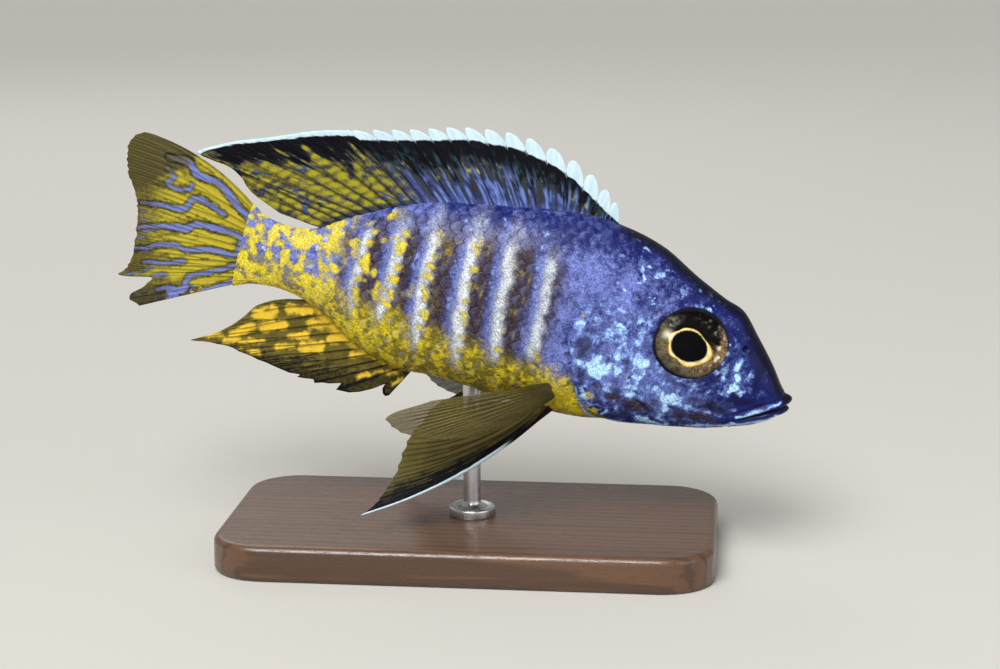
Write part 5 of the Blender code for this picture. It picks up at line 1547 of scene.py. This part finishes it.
def tail_paints(web):
    """Blue streaks with dark borders on yellow that fades to dusk at the rear edge and above."""
    place, share, rib = web.place[:, None], web.share, web.rib
    coarse, fine = clouds(web.surface, 2.4, 71), clouds(web.surface, 0.8, 72)
    behind, up = -web.surface[..., 0], web.surface[..., 2]
    blue, halo = 0.0, 0.0
    for path, wide in BLUE_STREAKS:
        off, along = from_path(path, behind, up, 4)
        narrow = wide * (0.75 + 0.25 * ramp(1 - along, 0.0, 0.3))
        off = np.abs(off + 0.16 * coarse) + 0.14 * fine
        blue = np.maximum(blue, 1 - ramp(off, narrow - 0.28, narrow + 0.28))
        halo = np.maximum(halo, min(1, 2.2 * wide) * (1 - ramp(off, narrow + 0.1, narrow + 0.75)))
    upper_dark = ramp(up - 5.8 + 0.72 * (behind - 112.0) + 0.8 * coarse, 0.0, 2.4)
    upper_dark = upper_dark * ramp(behind, 107.0, 110.0)
    lower_dark = (1 - ramp(place, 0.7, 1.9)) * ramp(share + 0.2 * coarse, 0.55, 0.85)
    tired = ramp(share + 0.08 * coarse, 0.55, 1.04)
    gold = np.clip(0.97 - 0.68 * tired, 0, 1) * (1 - 0.95 * upper_dark) * (1 - 0.85 * lower_dark) * (1 - blue)
    flowing = flow_of(web.place, web.run, 1.6, 0.45)
    gold = gold * (1 - 0.6 * ramp(clouds(flowing, 1.0, 74, 3) + 0.4 * fine, 0.1, 0.9))
    blotch = ramp(clouds(web.surface, 1.5, 73), 0.0, 0.35) * (1 - ramp(place, 0.6, 1.6))
    gold = gold * (1 - blotch)
    blue = np.maximum(blue, blotch * ramp(fine, -0.4, 0.4))
    threads = clouds(flowing * (3.2, 1.0, 1.0), 1.0, 75, 2)
    blue = blue * (0.68 + 0.32 * ramp(threads + 0.4 * fine, -0.7, 0.5))
    top_line = ramp(place, 15.55, 15.85) * ramp(share, 0.25, 0.4)
    ink = np.maximum(0.3 * upper_dark * rib, np.maximum(0.45 * top_line, 0.5 * lower_dark))
    return {
        "ray": rib * (0.3 + 0.4 * tired), "gold": gold, "ink": np.maximum(ink, 0.72 * halo * (1 - blue)),
        "blue": blue * (1 - 0.6 * upper_dark) * (1 - 0.35 * tired), "joint": joints(web.run),
    }


web = tail_shape()
root_half = TAIL_ROOT_HALF[0] + (TAIL_ROOT_HALF[1] - TAIL_ROOT_HALF[0]) * (1 - web.outermost)
tail = fin_sheet("tail_web", web, half_thickness(web, web.rib, lost=0.27), tail_paints(web), root_half)
tail.data.materials.append(fin_material(
    "tail_paint", web=(0.080, 0.067, 0.020), ray=(0.025, 0.02, 0.010), gold=(0.44, 0.365, 0.026),
    blue=(0.16, 0.20, 0.48), rough=0.5,
))
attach(tail, "root")
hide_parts("tail_fin")


# The pectoral fins: see-through fans of thirteen rays on a short fleshy root, low behind the gill
# covers. They are cast sheets like the others, clear between the rays.

GAP = 0.3  # between solids that meet
PECTORAL_RAYS = 13
PECTORAL_ROWS = 60
PECTORAL_ROOTS = ((39.2, -5.1), (38.9, -9.9))
PECTORAL_ROOT_MIDDLE = -7.2
PECTORAL_EDGE = [
    (0.0, 56.4, -13.4), (1.5, 62.2, -17.2), (3.0, 61.2, -18.8), (5.0, 57.6, -19.6),
    (8.0, 51.6, -18.8), (10.5, 47.0, -17.0), (12.0, 43.4, -14.8),
]
PECTORAL_SPREAD = (math.radians(20.0), math.radians(31.0))
PAIRED_JOINTS = 0.6


def between(first, last, share):
    return first + (last - first) * share


def pectoral_shape(side):
    """One pectoral web, cupped and standing off the flank, with its ribs."""
    last = PECTORAL_RAYS - 1
    place = np.linspace(0, last, last * FIN_STEPS + 1)
    across = place / last
    behind, up = (between(*ends, across) for ends in zip(*PECTORAL_ROOTS))
    out = flank(behind, up) + GAP + 0.35
    root = np.column_stack([-behind - 0.2, side * out, up])
    edge = read_edge(PECTORAL_EDGE, place)
    reach = np.linalg.norm((edge - root)[:, [0, 2]], axis=1)
    edge[:, 1] = side * (out + reach * np.sin(between(*PECTORAL_SPREAD, across)))
    root[:, 0] += 1.6
    root[:, 2] = PECTORAL_ROOT_MIDDLE + 0.5 * (root[:, 2] - PECTORAL_ROOT_MIDDLE)
    root[:, 1] = side * (flank(-root[:, 0], root[:, 2]) - 0.9)
    web = fin_web(place, root, edge, PECTORAL_ROWS, 0.28 * np.abs(np.sin(place * math.pi)))
    web.surface[..., 1] += side * 1.6 * np.sin(np.pi * across)[:, None] * web.share * (1.2 - web.share)
    web.rib = ray_ribs(web, 0.24, 0.12, ((0.3, 0.7), (0.65, 1.0)))
    return web


def pectoral_paints(web):
    """Smoky yellow, thicker and a little blue at the root."""
    fine, coarse = clouds(web.surface, 0.8, 82), clouds(web.surface, 3.0, 81)
    base = 1 - ramp(web.share, 0.03, 0.22)
    return {
        "ray": web.rib * (1.0 - 0.15 * web.share), "gold": 0.28 * ramp(fine + coarse, 0.2, 1.0) + 0.3 * base,
        "blue": 0.25 * base * ramp(fine, 0.0, 0.6), "thick": base,
        "ink": 0.25 * ramp(web.share, 0.75, 1.0) * ramp(coarse, 0.0, 0.6),
        "joint": joints(web.run, PAIRED_JOINTS),
    }


pectoral_paint = fin_material(
    "pectoral_paint", web=(0.165, 0.132, 0.040), ray=(0.016, 0.012, 0.006), gold=(0.24, 0.19, 0.03),
    blue=(0.16, 0.15, 0.3), rough=0.45, clear=0.45,
)
for side, word in ((-1, "right"), (1, "left")):
    web = pectoral_shape(side)
    half = half_thickness(web, web.rib, 0.09, 0.3, 0.25)
    pectoral = fin_sheet(f"pectoral_web_{word}", web, half, pectoral_paints(web))
    pectoral.data.materials.append(pectoral_paint)
    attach(pectoral, "root")
    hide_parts(f"pectoral_fin_{word}")


# The pelvic fins: one spine and five branched rays each, under the breast. They are dark, with a
# white front edge, and drawn out to a long point.

PELVIC_RAYS = 6
PELVIC_ROWS = 70
PELVIC_ROOTS = ((38.6, 3.9), (42.2, 2.3))  # front and rear: behind the snout, and out from the middle
PELVIC_EDGE = [
    (0.0, 62.6, -36.0), (0.45, 61.4, -34.5), (1.2, 60.4, -32.0), (2.2, 59.6, -28.6),
    (3.2, 59.5, -24.6), (4.2, 58.4, -20.4), (5.0, 54.2, -15.8),
]
PELVIC_SPREAD = math.radians(19.0)
PELVIC_BOW = 0.06


def underside(behind, out):
    """Height of the belly's surface this far out from the middle."""
    share = np.clip(out / half_width(behind), 0, 0.999)
    return middle(behind) - (middle(behind) - belly(behind)) * (1 - share**2) ** (1 / BELLY_FULLNESS)


def pelvic_shape(side):
    """One pelvic web with its ribs, the thick spine at the front."""
    last = PELVIC_RAYS - 1
    place = np.linspace(0, last, last * 2 * FIN_STEPS + 1)
    part = place / last
    behind, out = (between(*ends, part) for ends in zip(*PELVIC_ROOTS))
    root = np.column_stack([-behind, side * out, underside(behind, out) - GAP - 0.15])
    edge = read_edge(PELVIC_EDGE, place)
    reach = np.linalg.norm((edge - root)[:, [0, 2]], axis=1)
    edge[:, 1] = side * (out + reach * math.sin(PELVIC_SPREAD) * (1 - 0.35 * part))
    root += (root - edge) / np.linalg.norm(root - edge, axis=1)[:, None]
    nick = 0.35 * np.abs(np.sin(place * math.tau)) * ramp(place, 0.4, 1.0)
    web = fin_web(place, root, edge, PELVIC_ROWS, nick, PELVIC_BOW)
    web.rib = ray_ribs(web, 0.3, 0.1, ((0.12, 0.5), (0.4, 0.85)))
    web.raised = np.maximum(web.rib, 0.8 * bell(place, 0.12)[:, None])
    return web


def pelvic_paints(web):
    """A white front edge and black front rays that pass into smoky yellow."""
    place, share = web.place[:, None], web.share
    fine, coarse = clouds(web.surface, 0.8, 92), clouds(web.surface, 2.6, 91)
    white = 1 - ramp(place * (0.2 + 1.6 * share) + 0.03 * fine, 0.16, 0.26)
    streaky = clouds(flow_of(web.place, web.length.mean() * share, 7, 0.35), 1.0, 93, 3)
    ink = 1 - ramp(place + 0.35 * coarse + 0.55 * streaky, 0.6, 2.7)
    ink = ink * (0.8 + 0.2 * web.rib) * ramp(share, 0.06, 0.2)
    return {
        "ray": web.rib * 0.8, "white": white * ramp(share, 0.2, 0.34),
        "gold": 0.35 * ramp(fine + coarse, 0.1, 0.9) + 0.3 * (1 - ramp(share, 0.02, 0.12)),
        "ink": np.maximum(ink, 0.7 * (1 - ramp(place, 0.2, 0.5))),
        "joint": joints(web.run, PAIRED_JOINTS),
    }


pelvic_paint = fin_material(
    "pelvic_paint", web=(0.085, 0.068, 0.016), ray=(0.014, 0.011, 0.006), gold=(0.18, 0.14, 0.02),
    blue=(0.2, 0.2, 0.4), rough=0.48,
)
for side, word in ((-1, "right"), (1, "left")):
    web = pelvic_shape(side)
    half = half_thickness(web, web.raised)
    pelvic = fin_sheet(f"pelvic_web_{word}", web, half, pelvic_paints(web), per_ray=2 * FLOW_PER_RAY)
    pelvic.data.materials.append(pelvic_paint)
    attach(pelvic, "root")
    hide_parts(f"pelvic_fin_{word}")


# The stand's board: dark hardwood, sawn to length, with rounded corners and an eased edge, then oiled
# and waxed. It lies flat on the floor.

BASE_LENGTH = 84.0
BASE_WIDTH = 46.0
BASE_THICKNESS = 6.0
BASE_CORNER = 9.0
BASE_EDGE = 1.2
CORNER_STEPS = 10
EDGE_STEPS = 8


def quarter_turn(steps):
    return [step / steps * math.pi / 2 for step in range(1, steps + 1)]


def round_board():
    """The board's rings, from the underside up over the eased edge and in over the top."""
    corners = []
    for turn in range(4):
        middle_x = (BASE_LENGTH / 2 - BASE_CORNER) * (1 if turn in (0, 3) else -1)
        middle_y = (BASE_WIDTH / 2 - BASE_CORNER) * (1 if turn in (0, 1) else -1)
        for step in range(CORNER_STEPS + 1):
            angle = (turn + step / CORNER_STEPS) * math.pi / 2
            corners.append((middle_x, middle_y, math.cos(angle), math.sin(angle)))
    profile = [(0.0, 0.6), (0.15, 0.25), (0.5, 0.04), (0.9, 0.0), (BASE_THICKNESS - BASE_EDGE, 0.0)]
    for angle in quarter_turn(EDGE_STEPS):
        below_top = BASE_EDGE * (1 - math.sin(angle))
        profile.append((BASE_THICKNESS - below_top, BASE_EDGE * (1 - math.cos(angle))))
    profile.append((BASE_THICKNESS, BASE_EDGE + 0.6))
    rings = []
    for height, inset in profile:
        radius = BASE_CORNER - inset
        rings.append([(x + radius * c, y + radius * s, height) for x, y, c, s in corners])
    return np.array(rings)


def capped_rings(name, rings):
    """A closed mesh of rings stacked from the bottom up, which knows its own places."""
    count, around = rings.shape[:2]
    first = np.arange(around)[None, :]
    points = rings.reshape(-1, 3)
    faces = [quads(count, around, wrap=True), first[:, ::-1], first + (count - 1) * around]
    return make_mesh(name, points * MM, faces, {"own": points})


WOOD_BROWNS = ((0.060, 0.026, 0.011), (0.135, 0.062, 0.026))
RING_BROWN_BLACK = (0.035, 0.015, 0.008)
PORE_BLACK = (0.02, 0.009, 0.005)
WOOD_STRETCH = (0.03, 0.34, 0.5)
PORE_STRETCH = (0.5, 6.0, 6.0)
YEAR_RINGS = {
    "Scale": 0.42, "Distortion": 9.0, "Detail": 3.0, "Detail Scale": 0.8, "Detail Roughness": 0.6,
}

board = capped_rings("stand_board", round_board())
board.data.set_sharp_from_angle(angle=math.radians(50))
hardwood, tree, shader = start_paint("waxed_hardwood")
place = read(tree, "own", "Vector")
stretched = scaled(place, WOOD_STRETCH)
drift = grain(stretched, 0.6, 3.0, 0.5)
waves = node("ShaderNodeTexWave", {"Vector": stretched, **YEAR_RINGS}, bands_direction="Y")
rings = waves.outputs["Fac"]
pores = grain(scaled(place, PORE_STRETCH), 1.0, 2.0, 0.6)
colour = layer(drift, *WOOD_BROWNS)
colour = layer(spread(rings, 0.45, 0.95, 0.0, 0.6), colour, RING_BROWN_BLACK)
colour = layer(spread(pores, 0.6, 0.72, 0.0, 0.55), colour, PORE_BLACK)
pore_height = maths("MULTIPLY_ADD", spread(pores, 0.58, 0.72), -1.0, times(rings, 0.25))
wire(shader, colour, pore_height, 0.05, spread(pores, 0.35, 0.7, 0.3, 0.48))
shader.inputs["Coat Weight"].default_value = 0.35
shader.inputs["Coat Roughness"].default_value = 0.22
board.data.materials.append(hardwood)
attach(board, "root")
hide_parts("stand_base")


# The stand's rod: drawn steel on a turned foot that is screwed to the board. Its upper end sits in the
# fish's belly.

ROD_RADIUS = 1.5
ROD_FOOT_RADIUS = 4.0
ROD_FOOT_THICKNESS = 1.4
ROD_AROUND = 64
FOOT_EDGE = 0.45  # radius of the foot's upper edge
NECK_FILLET = 0.9  # radius of the hollow between foot and rod
NECK_RADIUS = 2.4
STEEL_GREYS = ((0.50, 0.50, 0.51), (0.64, 0.64, 0.65))
DRAWN_STRETCH = (9.0, 9.0, 0.25)

foot = BASE_THICKNESS
foot_top = foot + GAP + ROD_FOOT_THICKNESS
foot_shoulder = foot_top - FOOT_EDGE
neck_foot = foot_top + 0.02
rod_profile = [(foot - 0.2, 3.7), (foot + 0.05, 3.95)]
rod_profile += [(foot + 0.3, ROD_FOOT_RADIUS), (foot_shoulder, ROD_FOOT_RADIUS)]
for angle in quarter_turn(6):
    inset = FOOT_EDGE * (1 - math.cos(angle))
    rod_profile.append((foot_shoulder + FOOT_EDGE * math.sin(angle), ROD_FOOT_RADIUS - inset))
rod_profile += [(foot_top, 2.9), (foot_top - 0.12, 2.75), (foot_top - 0.12, 2.55), (neck_foot, NECK_RADIUS)]
for angle in quarter_turn(7):
    rise = NECK_FILLET * (1 - math.cos(angle))
    rod_profile.append((neck_foot + rise, NECK_RADIUS - NECK_FILLET * math.sin(angle)))
rod_profile += [(height, ROD_RADIUS) for height in np.linspace(foot_top + 1.2, BELLY_HEIGHT + 0.6, 12)]
turn = np.arange(ROD_AROUND) * math.tau / ROD_AROUND
height, radius = np.array(rod_profile).T[..., None]
rod_rings = np.stack(np.broadcast_arrays(radius * np.cos(turn), radius * np.sin(turn), height), -1)
rod = capped_rings("stand_post", rod_rings)
rod.data.set_sharp_from_angle(angle=math.radians(45))

steel, tree, shader = start_paint("brushed_steel")
place = read(tree, "own", "Vector")
lines = grain(scaled(place, DRAWN_STRETCH), 1.0, 3.0, 0.7)
smudge = grain(place, 0.25, 3.0, 0.5)
worn = spread(maths("ADD", lines, smudge), 0.7, 1.3, 0.2, 0.38)
wire(shader, layer(smudge, *STEEL_GREYS), lines, 0.02, worn)
shader.inputs["Metallic"].default_value = 1.0
rod.data.materials.append(steel)
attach(rod, "root")
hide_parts("stand_rod")


# The room: a plain pale floor of matt card, four soft studio lamps under a broad ceiling light, and
# the camera. None of it belongs to the model.

FLOOR_HALF = 20
floor_mesh = bpy.data.meshes.new("studio_floor")
floor_corners = [(FLOOR_HALF * x, FLOOR_HALF * y, 0) for x, y in ((-1, -1), (1, -1), (1, 1), (-1, 1))]
floor_mesh.from_pydata(floor_corners, [], [(0, 1, 2, 3)])
studio_floor = bpy.data.objects.new("studio_floor", floor_mesh)
bpy.context.scene.collection.objects.link(studio_floor)
pale_floor, tree, shader = start_paint("pale_floor")
shader.inputs["Base Color"].default_value = (0.50, 0.485, 0.45, 1)
shader.inputs["Roughness"].default_value = 0.9
shader.inputs["Specular IOR Level"].default_value = 0.1
floor_mesh.materials.append(pale_floor)

CAMERA_AZIMUTH = math.radians(6.0)
CAMERA_HEIGHT = math.radians(12.0)
CAMERA_DISTANCE = 0.400
towards_camera = np.array([
    math.sin(CAMERA_AZIMUTH) * math.cos(CAMERA_HEIGHT),
    -math.cos(CAMERA_AZIMUTH) * math.cos(CAMERA_HEIGHT),
    math.sin(CAMERA_HEIGHT),
])
AIMED_AT = (-49.8, 0.0, -2.9)  # on the straight fish
aim = in_place(np.array([AIMED_AT]))[0]


def aimed(made, place, target):
    """Sets an object at a place, looking at a target."""
    away = np.asarray(target) - place
    made.location = place
    lean = math.atan2(math.hypot(away[0], away[1]), -away[2])
    made.rotation_euler = (lean, 0, math.atan2(-away[0], away[1]))
    bpy.context.scene.collection.objects.link(made)


lens = bpy.data.cameras.new("camera")
lens.lens = 85.0
lens.sensor_width = 36.0
lens.clip_start = 0.01
camera = bpy.data.objects.new("camera", lens)
aimed(camera, aim + towards_camera * CAMERA_DISTANCE, aim)
bpy.context.scene.camera = camera

for name, place, size, watts in (
    ("key_lamp", (-0.10, -0.50, 0.50), 0.3, 2.6),
    ("fill_lamp", (0.55, -0.30, 0.25), 0.5, 1.0),
    ("rear_lamp", (-0.25, 0.55, 0.5), 0.5, 0.9),
    ("low_lamp", (0.1, -0.5, 0.06), 0.4, 0.3),
):
    lamp = bpy.data.lights.new(name, "AREA")
    lamp.shape = "DISK"
    lamp.size = size
    lamp.energy = watts
    aimed(bpy.data.objects.new(name, lamp), np.array(place), aim)
ceiling = bpy.data.lights.new("ceiling_light", "SUN")
ceiling.energy = 2.4
ceiling.angle = math.radians(40)
aimed(bpy.data.objects.new("ceiling_light", ceiling), np.array((-0.5, -1.3, 2.0)), aim)

world = bpy.data.worlds.new("studio")
world.use_nodes = True
world.node_tree.nodes["Background"].inputs["Color"].default_value = (0.86, 0.86, 0.84, 1)
world.node_tree.nodes["Background"].inputs["Strength"].default_value = 0.38
bpy.context.scene.world = world
bpy.context.scene.view_settings.view_transform = "Standard"
